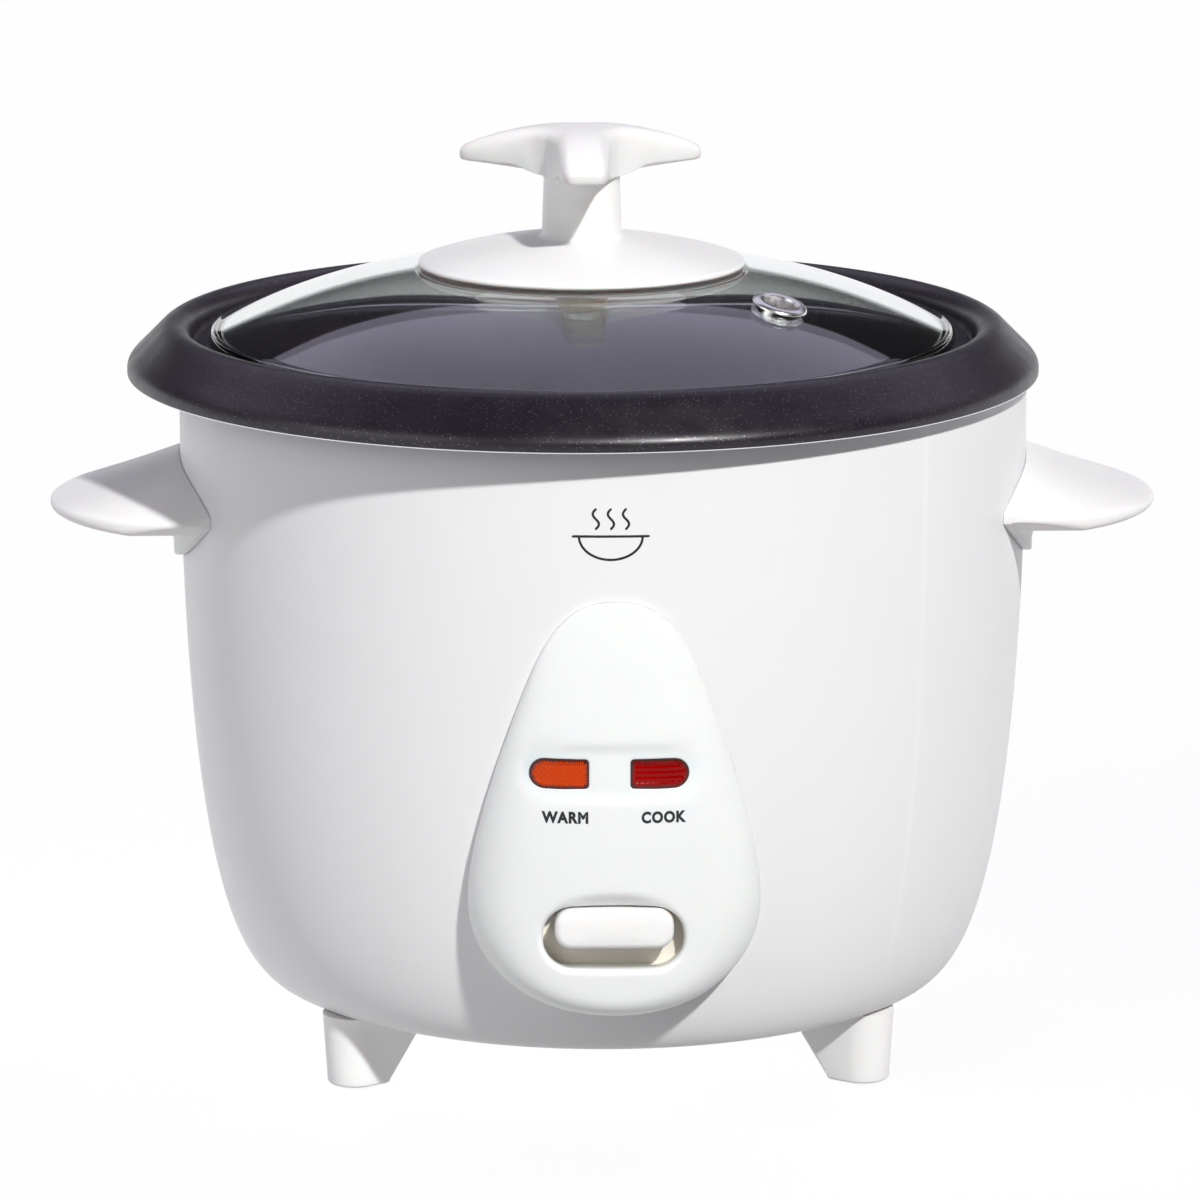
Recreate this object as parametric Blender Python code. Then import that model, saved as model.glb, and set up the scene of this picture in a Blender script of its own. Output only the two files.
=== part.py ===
"""Rice cooker with a lift-out pot, a glass lid and a cook lever.

A standalone Blender 4.5 script. Sizes below are millimetres and are scaled to metres where a mesh
is made. +Z is up, +X is to the right seen from the front, the front faces -Y, and the origin is on
the floor under the middle of the housing.
"""
import math

import bmesh
import bpy
from mathutils import Matrix, Vector

MM = 0.001
GAP = 0.3

# Housing
SHELL_R = 102.4
SHELL_TOP = 169.0
SHELL_WALL = 1.2
STRAIGHT_END = 145.5
TAPER_CONTROLS = ((102.4, 107.5), (100.2, 29.6), (83.6, 18.05))
SHELL_LIP_R = 97.0
SHELL_FLANGE_R = 70.0
LINER_R = 95.5
LINER_WALL = 0.8
LINER_TOP = 167.2
LINER_FLANGE_R = 100.5
LINER_FLOOR = 59.0
LINER_HOLE_R = 76.0

# Base and feet
PLATE_Z = 19.6
PLATE_THICK = 1.2
PLATE_R = 82.0
FOOT_TOP = 17.7
FOOT_BOTTOM = 0.4
FOOT_NOSE = (60.8, 49.0)
FOOT_TURN = math.radians(33.0)
FOOT_NOSE_R = {"top": 7.6, "bottom": 6.6}
FOOT_BACK = {"top": 17.8, "bottom": 6.3}
FOOT_CORNER = 1.2
FOOT_EDGE = 0.8
PAD_THICK = 1.4
PAD_R = 4.5
PEG_PLACE = (57.0, 46.5)
PEG_R = 2.5

# Pot: its rim hangs over the housing, a little off centre
POT_X = -4.8
POT_WALL = 1.5
POT_R = 87.5
POT_FLOOR = 76.0
POT_CORNER = 17.0
SEAT_Z = 171.1
RIM_R = 110.0
RIM_EDGE_Z = 165.0

# Lid
LID_X = -5.1
GLASS_R = 90.3
GLASS_THICK = 4.0
DOME_TOP = 195.0
DOME_R = 199.0
KNOB_FLAT_Z = 189.9
KNOB_FLAT_R = 36.0
DOME_START_R = 55.0
VENT_R = 59.4
VENT_ANGLE = math.radians(-40.0)
VENT_HOLE_R = 3.9
VENT_FLANGE_R = 6.6

# Knob
DISC_R = 39.4
STEM_R = 9.4
LOBE_REACH = 32.0
LOBE_HALF_W = 5.7
LOBE_SQUARENESS = 4.5
STAR_WAIST_R = 9.6
STAR_TOP = 224.2
STAR_CROWN_R = 73.5
STAR_UNDER_Z = 212.2
LOBE_UNDER_Z = 213.8
KNOB_BASE_Z = 190.2

# Side handles
HANDLE_CENTRE_X = 96.0
HANDLE_REACH = 38.0
HANDLE_HALF_Y = 41.5
HANDLE_ROOT_Z = 133.5
HANDLE_ROOT_RISE = 11.7
HANDLE_RIM_Z = 135.2
HANDLE_UNDER_Z = 131.3
HANDLE_FLANGE = 1.8
HANDLE_SCREW_Y = 20.0
HANDLE_SCREW_Z = 135.0

# Front panel
PANEL_FRONT = 109.0
PANEL_TOP_Z = 129.6
PANEL_WIDE_Z = 57.5
PANEL_BOTTOM_Z = 30.3
PANEL_HALF_W = 33.8
PANEL_ROUND = 12.0
PANEL_EDGE = 1.2
PANEL_WALL = 2.2
PANEL_CURVE_X = 88.0
PANEL_CURVE_Z = 300.0
PANEL_CREST_Z = 75.0
PANEL_SCREW_X = 23.5
PANEL_SCREW_Z = 50.0
LENS_CENTRES_X = (-12.9, 9.9)
LENS_Z = 91.0
LENS_W = 13.0
LENS_H = 7.1
SLOT_X = -0.6
SLOT_HALF_W = 16.1
SLOT_Z = (44.6, 59.4)
LEVER_X = -0.4
LEVER_HALF_W = 13.6
LEVER_Z = (49.6, 58.8)
LEVER_Y = (-109.6, -103.2)
POCKET_BACK_Y = -101.4
POCKET_WALL = 1.4
POCKET_FRONT_Y = -106.0
SLOT_CORNER = 6.8
POST_R = 3.4
POST_HOLE_R = 1.6
ARM_SLOT = (8.0, 48.4, 56.6)

# Heater, thermostat and switch
HEATER_TOP = 75.7
HEATER_R = 72.0
HEATER_HOLE_R = 21.0
CUP_R = 19.0
GUIDE_R = 17.3
GUIDE_BOTTOM = 40.0
GUIDE_TOP = 68.0
PIVOT = (0.0, -60.0, 54.0)
ARM_HALF_W = 6.0
BUTTON_Y = -42.0
BRACKET_HALF_W = 18.0

# Inlet at the back
INLET_HALF_W = 16.0
INLET_Z = (28.0, 52.0)
INLET_Y = (78.0, 99.0)
INLET_CAVITY_HALF_W = 13.0
INLET_CAVITY_Z = (31.5, 48.5)
INLET_CAVITY_DEPTH = 14.0
PIN_X = 6.5
PIN_R = 2.0

ROUND = 40


# ------------------------------------------------------------------ materials

def material(name, colour, roughness, metallic=0.0, alpha=1.0, transmission=0.0):
    """A Principled material in one colour."""
    mat = bpy.data.materials.new(name)
    mat.use_nodes = True
    shader = mat.node_tree.nodes["Principled BSDF"]
    shader.inputs["Base Color"].default_value = (*colour, 1.0)
    shader.inputs["Roughness"].default_value = roughness
    shader.inputs["Metallic"].default_value = metallic
    shader.inputs["Alpha"].default_value = alpha
    shader.inputs["Transmission Weight"].default_value = transmission
    return mat


def make_materials():
    """Every finish on the object, by name."""
    return {
        "white_paint": material("white_paint", (0.82, 0.82, 0.83), 0.25),
        "white_plastic": material("white_plastic", (0.80, 0.80, 0.81), 0.3),
        "pot_coat": material("pot_coat", (0.025, 0.022, 0.025), 0.4),
        "lid_glass": material("lid_glass", (0.93, 0.96, 0.95), 0.02, alpha=0.35, transmission=1.0),
        "steel": material("steel", (0.62, 0.62, 0.64), 0.25, metallic=1.0),
        "galvanised": material("galvanised", (0.55, 0.56, 0.58), 0.45, metallic=1.0),
        "aluminium": material("aluminium", (0.76, 0.76, 0.77), 0.4, metallic=1.0),
        "brass": material("brass", (0.72, 0.55, 0.25), 0.3, metallic=1.0),
        "ferrite": material("ferrite", (0.06, 0.06, 0.065), 0.6),
        "dark_plastic": material("dark_plastic", (0.03, 0.03, 0.03), 0.45),
        "boss_plastic": material("boss_plastic", (0.10, 0.10, 0.07), 0.5),
        "rubber": material("rubber", (0.12, 0.12, 0.12), 0.8),
        "amber": material("amber", (0.72, 0.14, 0.0), 0.15, transmission=0.4),
        "red": material("red", (0.45, 0.0, 0.0), 0.15, transmission=0.4),
        "neon": material("neon", (0.9, 0.85, 0.8), 0.05, transmission=0.8),
        "lead": material("lead", (0.75, 0.73, 0.68), 0.6),
    }


# ------------------------------------------------------------------ mesh tools

def frame_at(name, point):
    """An empty on a joint's axis, which carries the pieces that move together."""
    empty = bpy.data.objects.new(name, None)
    empty.empty_display_size = 0.01
    empty.location = Vector(point) * MM
    bpy.context.collection.objects.link(empty)
    return empty


def solid(name, verts, faces, mat, carrier=None, sharp=35.0):
    """An object from vertices in millimetres, with its origin on its carrier's if it has one."""
    offset = carrier.location if carrier else Vector((0, 0, 0))
    mesh = bpy.data.meshes.new(name)
    mesh.from_pydata([Vector(v) * MM - offset for v in verts], [], faces)
    bm = bmesh.new()
    bm.from_mesh(mesh)
    bmesh.ops.recalc_face_normals(bm, faces=bm.faces)
    bm.to_mesh(mesh)
    bm.free()
    mesh.shade_smooth()
    mesh.set_sharp_from_angle(angle=math.radians(sharp))
    mesh.materials.append(mat)
    obj = bpy.data.objects.new(name, mesh)
    obj.parent = carrier
    bpy.context.collection.objects.link(obj)
    return obj


def guide_body(name, verts, faces):
    """A wire-only body that shapes another one and isn't part of the object."""
    obj = solid(name, verts, faces, None)
    obj.hide_render = True
    obj.display_type = "WIRE"
    return obj


def combine(obj, other, operation, other_name):
    """Cut or join another body with a Boolean modifier."""
    cutter = guide_body(f"{obj.name}_{other_name}", *other)
    cutter.parent = obj.parent
    if obj.parent:
        cutter.matrix_parent_inverse = Matrix.Translation(obj.parent.location).inverted()
    boolean = obj.modifiers.new(other_name, "BOOLEAN")
    boolean.operation = operation
    boolean.object = cutter


def cut(obj, other, other_name):
    """Take a body away from an object."""
    combine(obj, other, "DIFFERENCE", other_name)


def join(obj, other, other_name):
    """Join a body to an object."""
    combine(obj, other, "UNION", other_name)


def merge_bodies(bodies):
    """Several separate bodies as one list of vertices and faces."""
    verts = []
    faces = []
    for body_verts, body_faces in bodies:
        start = len(verts)
        verts.extend(body_verts)
        faces.extend(tuple(start + i for i in face) for face in body_faces)
    return verts, faces


def rings(loops, close=False):
    """Bridge equal loops of points, with a cap on each end unless the last meets the first."""
    count = len(loops[0])
    verts = [point for loop in loops for point in loop]
    faces = []
    last = len(loops) if close else len(loops) - 1
    for k in range(last):
        a = k * count
        b = (k + 1) % len(loops) * count
        for i in range(count):
            j = (i + 1) % count
            faces.append((a + i, a + j, b + j, b + i))
    if not close:
        faces.append(tuple(range(count)))
        faces.append(tuple(range(len(verts) - count, len(verts))))
    return verts, faces


def turned(profile, centre=(0.0, 0.0), steps=ROUND, closed=True):
    """A body turned about a vertical axis. An open profile starts and ends on the axis."""
    cx, cy = centre
    inner = profile if closed else profile[1:-1]
    loops = []
    for r, z in inner:
        turn = [math.tau * i / steps for i in range(steps)]
        loops.append([(cx + r * math.cos(t), cy + r * math.sin(t), z) for t in turn])
    if closed:
        return rings(loops, close=True)
    verts, faces = rings(loops)
    faces = faces[:-2]
    first = len(verts)
    verts.append((cx, cy, profile[0][1]))
    verts.append((cx, cy, profile[-1][1]))
    end = first - steps
    for i in range(steps):
        j = (i + 1) % steps
        faces.append((first, j, i))
        faces.append((first + 1, end + i, end + j))
    return verts, faces


def tube_between(start, end, radius, steps=12):
    """A straight round bar between two points."""
    start = Vector(start)
    end = Vector(end)
    turn = (end - start).to_track_quat("Z", "Y")
    loops = []
    for middle in (start, end):
        loop = []
        for i in range(steps):
            angle = math.tau * i / steps
            edge = turn @ Vector((radius * math.cos(angle), radius * math.sin(angle), 0))
            loop.append(tuple(middle + edge))
        loops.append(loop)
    return rings(loops)


def box(low, high):
    """A plain rectangular body."""
    outline = [(low[0], low[1]), (high[0], low[1]), (high[0], high[1]), (low[0], high[1])]
    return rings([[(x, y, z) for x, y in outline] for z in (low[2], high[2])])


def extruded(outline, axis, low, high):
    """A flat outline drawn out along X or Y. The outline holds the two other coordinates."""
    loops = []
    for depth in (low, high):
        if axis == "X":
            loops.append([(depth, a, b) for a, b in outline])
        else:
            loops.append([(a, depth, b) for a, b in outline])
    return rings(loops)


def round_ended(centre, half_w, half_h, radius_left, radius_right, steps=6):
    """A rectangle's outline with its own corner radius on each side."""
    cx, cz = centre
    corners = (
        (1, 1, radius_right, 0.0),
        (-1, 1, radius_left, 90.0),
        (-1, -1, radius_left, 180.0),
        (1, -1, radius_right, 270.0),
    )
    points = []
    for sx, sz, radius, start in corners:
        if radius == 0:
            points.append((cx + sx * half_w, cz + sz * half_h))
            continue
        for i in range(steps + 1):
            angle = math.radians(start + 90.0 * i / steps)
            x = cx + sx * (half_w - radius) + radius * math.cos(angle)
            z = cz + sz * (half_h - radius) + radius * math.sin(angle)
            points.append((x, z))
    return points


def bezier(p0, p1, p2, p3, steps):
    """Points on a cubic curve, without its first point."""
    points = []
    for i in range(1, steps + 1):
        t = i / steps
        weights = ((1 - t) ** 3, 3 * t * (1 - t) ** 2, 3 * t * t * (1 - t), t ** 3)
        x = sum(w * p[0] for w, p in zip(weights, (p0, p1, p2, p3)))
        y = sum(w * p[1] for w, p in zip(weights, (p0, p1, p2, p3)))
        points.append((x, y))
    return points


def arc(centre, radius, start, end, steps):
    """Points on an arc between two angles in degrees, ends included."""
    points = []
    for i in range(steps + 1):
        angle = math.radians(start + (end - start) * i / steps)
        points.append((centre[0] + radius * math.cos(angle), centre[1] + radius * math.sin(angle)))
    return points


def wire(name, points, radius, mat, carrier=None, resolution=1):
    """A round wire through points, as a curve with filled ends."""
    offset = carrier.location if carrier else Vector((0, 0, 0))
    curve = bpy.data.curves.new(name, "CURVE")
    curve.dimensions = "3D"
    curve.bevel_depth = radius * MM
    curve.bevel_resolution = resolution
    curve.use_fill_caps = True
    spline = curve.splines.new("POLY")
    spline.points.add(len(points) - 1)
    for knot, point in zip(spline.points, points):
        knot.co = (*(Vector(point) * MM - offset), 1.0)
    curve.materials.append(mat)
    obj = bpy.data.objects.new(name, curve)
    obj.parent = carrier
    bpy.context.collection.objects.link(obj)
    return obj


def smooth_route(points, per_span=5):
    """A smooth curve through a few points."""
    route = [Vector(points[0])]
    count = len(points)
    for k in range(count - 1):
        before = Vector(points[max(k - 1, 0)])
        a = Vector(points[k])
        b = Vector(points[k + 1])
        after = Vector(points[min(k + 2, count - 1)])
        for i in range(1, per_span + 1):
            t = i / per_span
            blend = 2 * a + (b - before) * t
            blend += (2 * before - 5 * a + 4 * b - after) * t ** 2
            blend += (3 * a - before - 3 * b + after) * t ** 3
            route.append(blend / 2)
    return route


def helix(centre, radius, low, high, turns, per_turn=10):
    """The centre line of a coil spring that stands upright."""
    count = round(turns * per_turn)
    points = []
    for i in range(count + 1):
        angle = math.tau * turns * i / count
        x = centre[0] + radius * math.cos(angle)
        y = centre[1] + radius * math.sin(angle)
        points.append((x, y, low + (high - low) * i / count))
    return points


# ------------------------------------------------------------------ shared shapes

def taper_curve(steps):
    """The housing's side from the end of its straight wall to its bottom edge."""
    return bezier((SHELL_R, STRAIGHT_END), *TAPER_CONTROLS, steps)


def housing_r(z):
    """The housing's outer radius at a height."""
    if z >= STRAIGHT_END:
        return SHELL_R
    points = [(SHELL_R, STRAIGHT_END)] + taper_curve(80)
    for (r0, z0), (r1, z1) in zip(points, points[1:]):
        if z >= z1:
            return r1 + (r0 - r1) * (z - z1) / (z0 - z1)
    return points[-1][0]


def front_of_housing(x, z):
    """The housing's Y at the front, a gap in front of its surface."""
    return -math.sqrt((housing_r(z) + GAP) ** 2 - x * x)


def glass_top(r):
    """The lid glass's upper surface: a dome with a flat seat for the knob."""
    if r >= DOME_START_R:
        return DOME_TOP - r * r / (2 * DOME_R)
    if r <= KNOB_FLAT_R:
        return KNOB_FLAT_Z
    span = DOME_START_R - KNOB_FLAT_R
    t = (r - KNOB_FLAT_R) / span
    end = DOME_TOP - DOME_START_R ** 2 / (2 * DOME_R)
    slope = -DOME_START_R / DOME_R * span
    return KNOB_FLAT_Z + (end - KNOB_FLAT_Z) * (3 - 2 * t) * t * t + slope * (t ** 3 - t * t)


# ------------------------------------------------------------------ housing

def shell_profile():
    """The outer shell's wall: rolled in at the top and flanged in at the bottom."""
    top_round = arc((SHELL_R - 1.5, SHELL_TOP - 1.5), 1.5, 90, 0, 2)
    outside = [(SHELL_LIP_R, SHELL_TOP)] + top_round + [(SHELL_R, STRAIGHT_END)] + taper_curve(7)
    floor_z = outside[-1][1]
    outside.append((SHELL_FLANGE_R, floor_z))
    inside = [(SHELL_FLANGE_R, floor_z + SHELL_WALL), (84.4, floor_z + SHELL_WALL)]
    for r, z in reversed(taper_curve(7)[:-1]):
        inside.append((r - SHELL_WALL, z))
    inside.append((SHELL_R - SHELL_WALL, STRAIGHT_END))
    inside.append((SHELL_R - SHELL_WALL, SHELL_TOP - SHELL_WALL))
    inside.append((SHELL_LIP_R, SHELL_TOP - SHELL_WALL))
    return outside + inside


def foot_places():
    """Name, and side in X and Y, of each foot."""
    return (
        ("front_left", -1, -1),
        ("front_right", 1, -1),
        ("rear_left", -1, 1),
        ("rear_right", 1, 1),
    )


def foot_pegs(radius, low, high):
    """One upright bar on each foot's peg axis."""
    bars = []
    for _, sx, sy in foot_places():
        x = sx * PEG_PLACE[0]
        y = sy * PEG_PLACE[1]
        bars.append(tube_between((x, y, low), (x, y, high), radius, 12))
    return bars


def handle_screw_places():
    """Name, side in X and the Y of each handle screw."""
    return (
        ("left_front", -1, -HANDLE_SCREW_Y),
        ("left_rear", -1, HANDLE_SCREW_Y),
        ("right_front", 1, -HANDLE_SCREW_Y),
        ("right_rear", 1, HANDLE_SCREW_Y),
    )


def handle_screw_bars(side, radius, low, high, steps=10):
    """A handle's two screw axes as bars between two distances from the middle."""
    bars = []
    for _, sx, y in handle_screw_places():
        if sx == side:
            start = (sx * low, y, HANDLE_SCREW_Z)
            bars.append(tube_between(start, (sx * high, y, HANDLE_SCREW_Z), radius, steps))
    return bars


def make_outer_shell(mats):
    """The painted steel shell with its holes for the handles, panel, lamps, lever and inlet."""
    shell = solid("outer_shell", *turned(shell_profile()), mats["white_paint"])
    slot = extruded(
        round_ended((SLOT_X, sum(SLOT_Z) / 2), SLOT_HALF_W + 1, 8.4, 3, 3, 3), "Y", -110, -80
    )
    lamps = extruded(round_ended((-1.5, LENS_Z), 20.5, 6.5, 2, 2, 3), "Y", -110, -80)
    inlet_mid = (0, sum(INLET_Z) / 2)
    inlet = extruded(
        round_ended(inlet_mid, INLET_HALF_W + 0.5, INLET_Z[1] - inlet_mid[1] + 0.5, 1.5, 1.5, 3),
        "Y", 82, 110,
    )
    cut(shell, merge_bodies([slot, lamps, inlet]), "openings")
    screws = handle_screw_bars(-1, 1.9, 96, 106) + handle_screw_bars(1, 1.9, 96, 106)
    for sx in (-1, 1):
        start = (sx * PANEL_SCREW_X, -90, PANEL_SCREW_Z)
        screws.append(tube_between(start, (sx * PANEL_SCREW_X, -104, PANEL_SCREW_Z), 1.9, 10))
    cut(shell, merge_bodies(screws), "screw_holes")
    cut(shell, merge_bodies(foot_pegs(PEG_R + 0.4, 16, 19.4)), "peg_holes")
    return shell


def make_inner_liner(mats):
    """The heat shield round the pot, with a floor that leaves the heater free."""
    inner_r = LINER_R - LINER_WALL
    profile = [
        (inner_r, LINER_TOP),
        (LINER_FLANGE_R, LINER_TOP),
        (LINER_FLANGE_R, LINER_TOP - LINER_WALL),
        (LINER_R, LINER_TOP - LINER_WALL),
        (LINER_R, LINER_FLOOR),
        (LINER_HOLE_R, LINER_FLOOR),
        (LINER_HOLE_R, LINER_FLOOR + LINER_WALL),
        (inner_r, LINER_FLOOR + LINER_WALL),
    ]
    solid("inner_liner", *turned(profile), mats["galvanised"])


def make_base_plate(mats):
    """The bottom cover with its rays of vent slots."""
    top = PLATE_Z + PLATE_THICK
    profile = [(0, top), (PLATE_R, top), (PLATE_R, PLATE_Z), (0, PLATE_Z)]
    plate = solid("base_plate", *turned(profile, closed=False), mats["galvanised"])
    vents = []
    ray_count = 12
    for i in range(ray_count):
        angle = math.tau * (i + 0.5) / ray_count
        turn = Matrix.Rotation(angle, 3, "Z")
        verts, faces = box((30, -2, PLATE_Z - 2), (50, 2, top + 2))
        vents.append(([tuple(turn @ Vector(v)) for v in verts], faces))
    cut(plate, merge_bodies(vents), "vents")
    cut(plate, merge_bodies(foot_pegs(PEG_R + 0.4, 16, 24)), "peg_holes")
    hole = tube_between((0, -64, 16), (0, -64, 24), 2.0, 12)
    cut(plate, hole, "screw_hole")


def foot_outline(level, side, inset, z):
    """A foot's section: a half-round nose that faces outward, two flanks and a flat inner end."""
    radius = FOOT_NOSE_R[level] - inset
    back = FOOT_BACK[level] - inset
    ahead = Vector((math.cos(FOOT_TURN), math.sin(FOOT_TURN)))
    across = Vector((-ahead.y, ahead.x))
    local = []
    steps = 8
    for i in range(steps + 1):
        angle = math.pi * (i / steps - 0.5)
        local.append((radius * math.cos(angle), radius * math.sin(angle)))
    corner = FOOT_CORNER
    local += [(corner - back, radius), (-back, radius - corner)]
    local += [(-back, corner - radius), (corner - back, -radius)]
    points = [Vector(FOOT_NOSE) + ahead * u + across * v for u, v in local]
    return [(side[0] * point.x, side[1] * point.y, z) for point in points]


def make_feet(mats):
    """Four tapered feet, each with a peg into the base and a pad let into its underside."""
    for (name, sx, sy), peg in zip(foot_places(), foot_pegs(PEG_R, FOOT_TOP - 2, 24)):
        side = (sx, sy)
        loops = [
            foot_outline("bottom", side, FOOT_EDGE, FOOT_BOTTOM),
            foot_outline("bottom", side, 0.0, FOOT_BOTTOM + FOOT_EDGE),
            foot_outline("top", side, 0.0, FOOT_TOP),
        ]
        foot = solid(f"foot_{name}", *rings(loops), mats["white_plastic"])
        join(foot, peg, "peg")
        middle = (sx * FOOT_NOSE[0], sy * FOOT_NOSE[1])
        recess = tube_between((*middle, -2.0), (*middle, PAD_THICK + GAP), PAD_R + GAP, 20)
        cut(foot, recess, "pad_recess")
        pad = tube_between((*middle, 0.0), (*middle, PAD_THICK), PAD_R, 20)
        solid(f"foot_pad_{name}", *pad, mats["rubber"])


# ------------------------------------------------------------------ side handles

def handle_section(y):
    """The handle's cross-section at a distance along it, as (x, z) points on the right side."""
    root_x = math.sqrt((SHELL_R + GAP) ** 2 - y * y)
    spread = math.sqrt(max(0.0, 1 - (y / HANDLE_HALF_Y) ** 2))
    tip_x = HANDLE_CENTRE_X + HANDLE_REACH * spread
    root_top = HANDLE_ROOT_Z + HANDLE_ROOT_RISE * math.sqrt(1 - (y / 43.2) ** 2)
    flange_bottom = 134.5 - 14.0 * (1 - (y / 42.0) ** 2)
    reach = tip_x - root_x
    roof_x = root_x + reach * 0.86
    mid_x = root_x + reach * 0.45
    flange_x = root_x + min(HANDLE_FLANGE, reach * 0.6)
    under_x = max(flange_x + 0.2, root_x + min(6.0, reach * 0.7))
    roof_z = min(HANDLE_RIM_Z, root_top - 0.4)
    under_z = max(HANDLE_UNDER_Z, flange_bottom + 0.4)
    rim_mid = (roof_z + under_z) / 2
    roof_mid = root_top + (roof_z - root_top) * 0.52
    return [
        (root_x, root_top),
        (mid_x, roof_mid),
        (roof_x, roof_z),
        (tip_x - reach * 0.04, rim_mid + (roof_z - rim_mid) * 0.55),
        (tip_x, rim_mid),
        (tip_x - reach * 0.04, under_z + (rim_mid - under_z) * 0.3),
        (tip_x - reach * 0.09, under_z),
        (under_x, under_z),
        (flange_x + (under_x - flange_x) * 0.3, under_z - (under_z - flange_bottom) * 0.22),
        (flange_x, under_z - (under_z - flange_bottom) * 0.55),
        (flange_x, flange_bottom),
        (root_x, flange_bottom),
    ]


def make_side_handle(name, side, mats):
    """A ledge-shaped handle that hugs the housing, on the side given by its sign."""
    stations = 18
    loops = []
    for i in range(stations + 1):
        angle = math.pi * (i / stations - 0.5)
        y = HANDLE_HALF_Y * math.sin(angle) * 0.995
        loops.append([(side * x, y, z) for x, z in handle_section(y)])
    handle = solid(name, *rings(loops), mats["white_plastic"])
    cut(handle, merge_bodies(handle_screw_bars(side, 1.8, 98, 113)), "screw_holes")


def make_handle_screws(mats):
    """Screws from inside the shell into the handles."""
    for name, sx, y in handle_screw_places():
        head = (sx * 95.8, y, HANDLE_SCREW_Z)
        neck = (sx * 97.8, y, HANDLE_SCREW_Z)
        tip = (sx * 112.0, y, HANDLE_SCREW_Z)
        screw = solid(f"handle_screw_{name}", *tube_between(head, neck, 3.2), mats["steel"])
        join(screw, tube_between((sx * 97.0, y, HANDLE_SCREW_Z), tip, 1.5, 8), "shank")


# ------------------------------------------------------------------ front panel

def panel_outline():
    """The egg-shaped edge of the front panel, as (x, z), starting at the top."""
    shoulder = (18.8, 113.5)
    widest = (PANEL_HALF_W, PANEL_WIDE_Z)
    right = [(0.0, PANEL_TOP_Z)]
    right += bezier(right[0], (10.0, PANEL_TOP_Z), (15.2, 122.5), shoulder, 4)
    right += bezier(shoulder, (25.0, 98.0), (PANEL_HALF_W - 0.2, 73.0), widest, 6)
    low = (0.0, PANEL_BOTTOM_Z)
    right += bezier(widest, (PANEL_HALF_W, 41.0), (20.0, PANEL_BOTTOM_Z), low, 7)
    left = [(-x, z) for x, z in reversed(right[1:-1])]
    return right + left


def inset_outline(outline, distance):
    """The outline moved inward by a distance, along its own normals."""
    count = len(outline)
    points = []
    for i, (x, z) in enumerate(outline):
        bx, bz = outline[i - 1]
        ax, az = outline[(i + 1) % count]
        length = math.hypot(ax - bx, az - bz)
        points.append((x + (az - bz) / length * distance, z - (ax - bx) / length * distance))
    return points


def panel_face(x, z):
    """The panel's front Y before its edge is rounded."""
    return -(PANEL_FRONT - x * x / (2 * PANEL_CURVE_X) - (z - PANEL_CREST_Z) ** 2 / (2 * PANEL_CURVE_Z))


def panel_layer(inset, depth):
    """One ring of the panel's surface, set in from its edge, and back by a wall's depth."""
    rise = math.sqrt(1 - (1 - min(inset / PANEL_ROUND, 1.0)) ** 2)
    ring = []
    for x, z in inset_outline(panel_outline(), inset + depth):
        edge = front_of_housing(x, z) - PANEL_EDGE
        y = edge + (panel_face(x, z) - edge) * rise + depth
        ring.append((x, min(y, front_of_housing(x, z) - GAP), z))
    return ring


def panel_centre_layer(share, depth):
    """A ring between the innermost inset ring and the panel's middle line."""
    base = inset_outline(panel_outline(), PANEL_ROUND + depth)
    ring = []
    for x, z in base:
        px = x * share
        pz = PANEL_CREST_Z + (z - PANEL_CREST_Z) * (0.35 + 0.65 * share)
        ring.append((px, panel_face(px, pz) + depth, pz))
    return ring


def make_control_panel(mats):
    """The egg-shaped cover with its lever slot, lamp windows and screw posts."""
    back_edge = [(x, front_of_housing(x, z), z) for x, z in panel_outline()]
    outer = [back_edge] + [panel_layer(inset, 0.0) for inset in (0.0, 1.2, 3.6, 7.2, PANEL_ROUND)]
    outer.append(panel_centre_layer(0.45, 0.0))
    inner = [panel_centre_layer(0.45, PANEL_WALL)]
    inner += [panel_layer(inset, PANEL_WALL) for inset in (PANEL_ROUND, 5.0, 1.5)]
    inner_outline = inset_outline(panel_outline(), PANEL_WALL)
    inner.append([(x, front_of_housing(x, z), z) for x, z in inner_outline])
    count = len(back_edge)
    verts, faces = rings(outer)
    faces = faces[:-2]
    inner_verts, inner_faces = rings(inner)
    start = len(verts)
    faces += [tuple(start + i for i in face) for face in inner_faces[:-2]]
    verts += inner_verts
    for ring_start, ring_y, depth in ((start - count, 0.0, 0.0), (start, PANEL_WALL, PANEL_WALL)):
        middle = len(verts)
        verts.append((0.0, panel_face(0.0, PANEL_CREST_Z) + ring_y, PANEL_CREST_Z))
        for i in range(count):
            faces.append((middle, ring_start + i, ring_start + (i + 1) % count))
    last = start + len(inner_verts) - count
    for i in range(count):
        j = (i + 1) % count
        faces.append((i, j, last + j, last + i))
    panel = solid("control_panel", verts, faces, mats["white_plastic"])
    add_panel_posts(panel)
    add_panel_pocket(panel)


def add_panel_posts(panel):
    """Two hollow posts inside the cover for its screws."""
    posts = []
    holes = []
    for side in (-1, 1):
        x = side * PANEL_SCREW_X
        tip = (x, panel_face(x, PANEL_SCREW_Z) + 2.4, PANEL_SCREW_Z)
        foot_y = front_of_housing(0, PANEL_SCREW_Z) - 0.4
        posts.append(tube_between((x, foot_y, PANEL_SCREW_Z), tip, POST_R, 14))
        deep_end = (x, tip[1] + 1.0, PANEL_SCREW_Z)
        holes.append(tube_between((x, -90, PANEL_SCREW_Z), deep_end, POST_HOLE_R, 10))
    join(panel, merge_bodies(posts), "posts")
    cut(panel, merge_bodies(holes), "post_holes")


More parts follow.
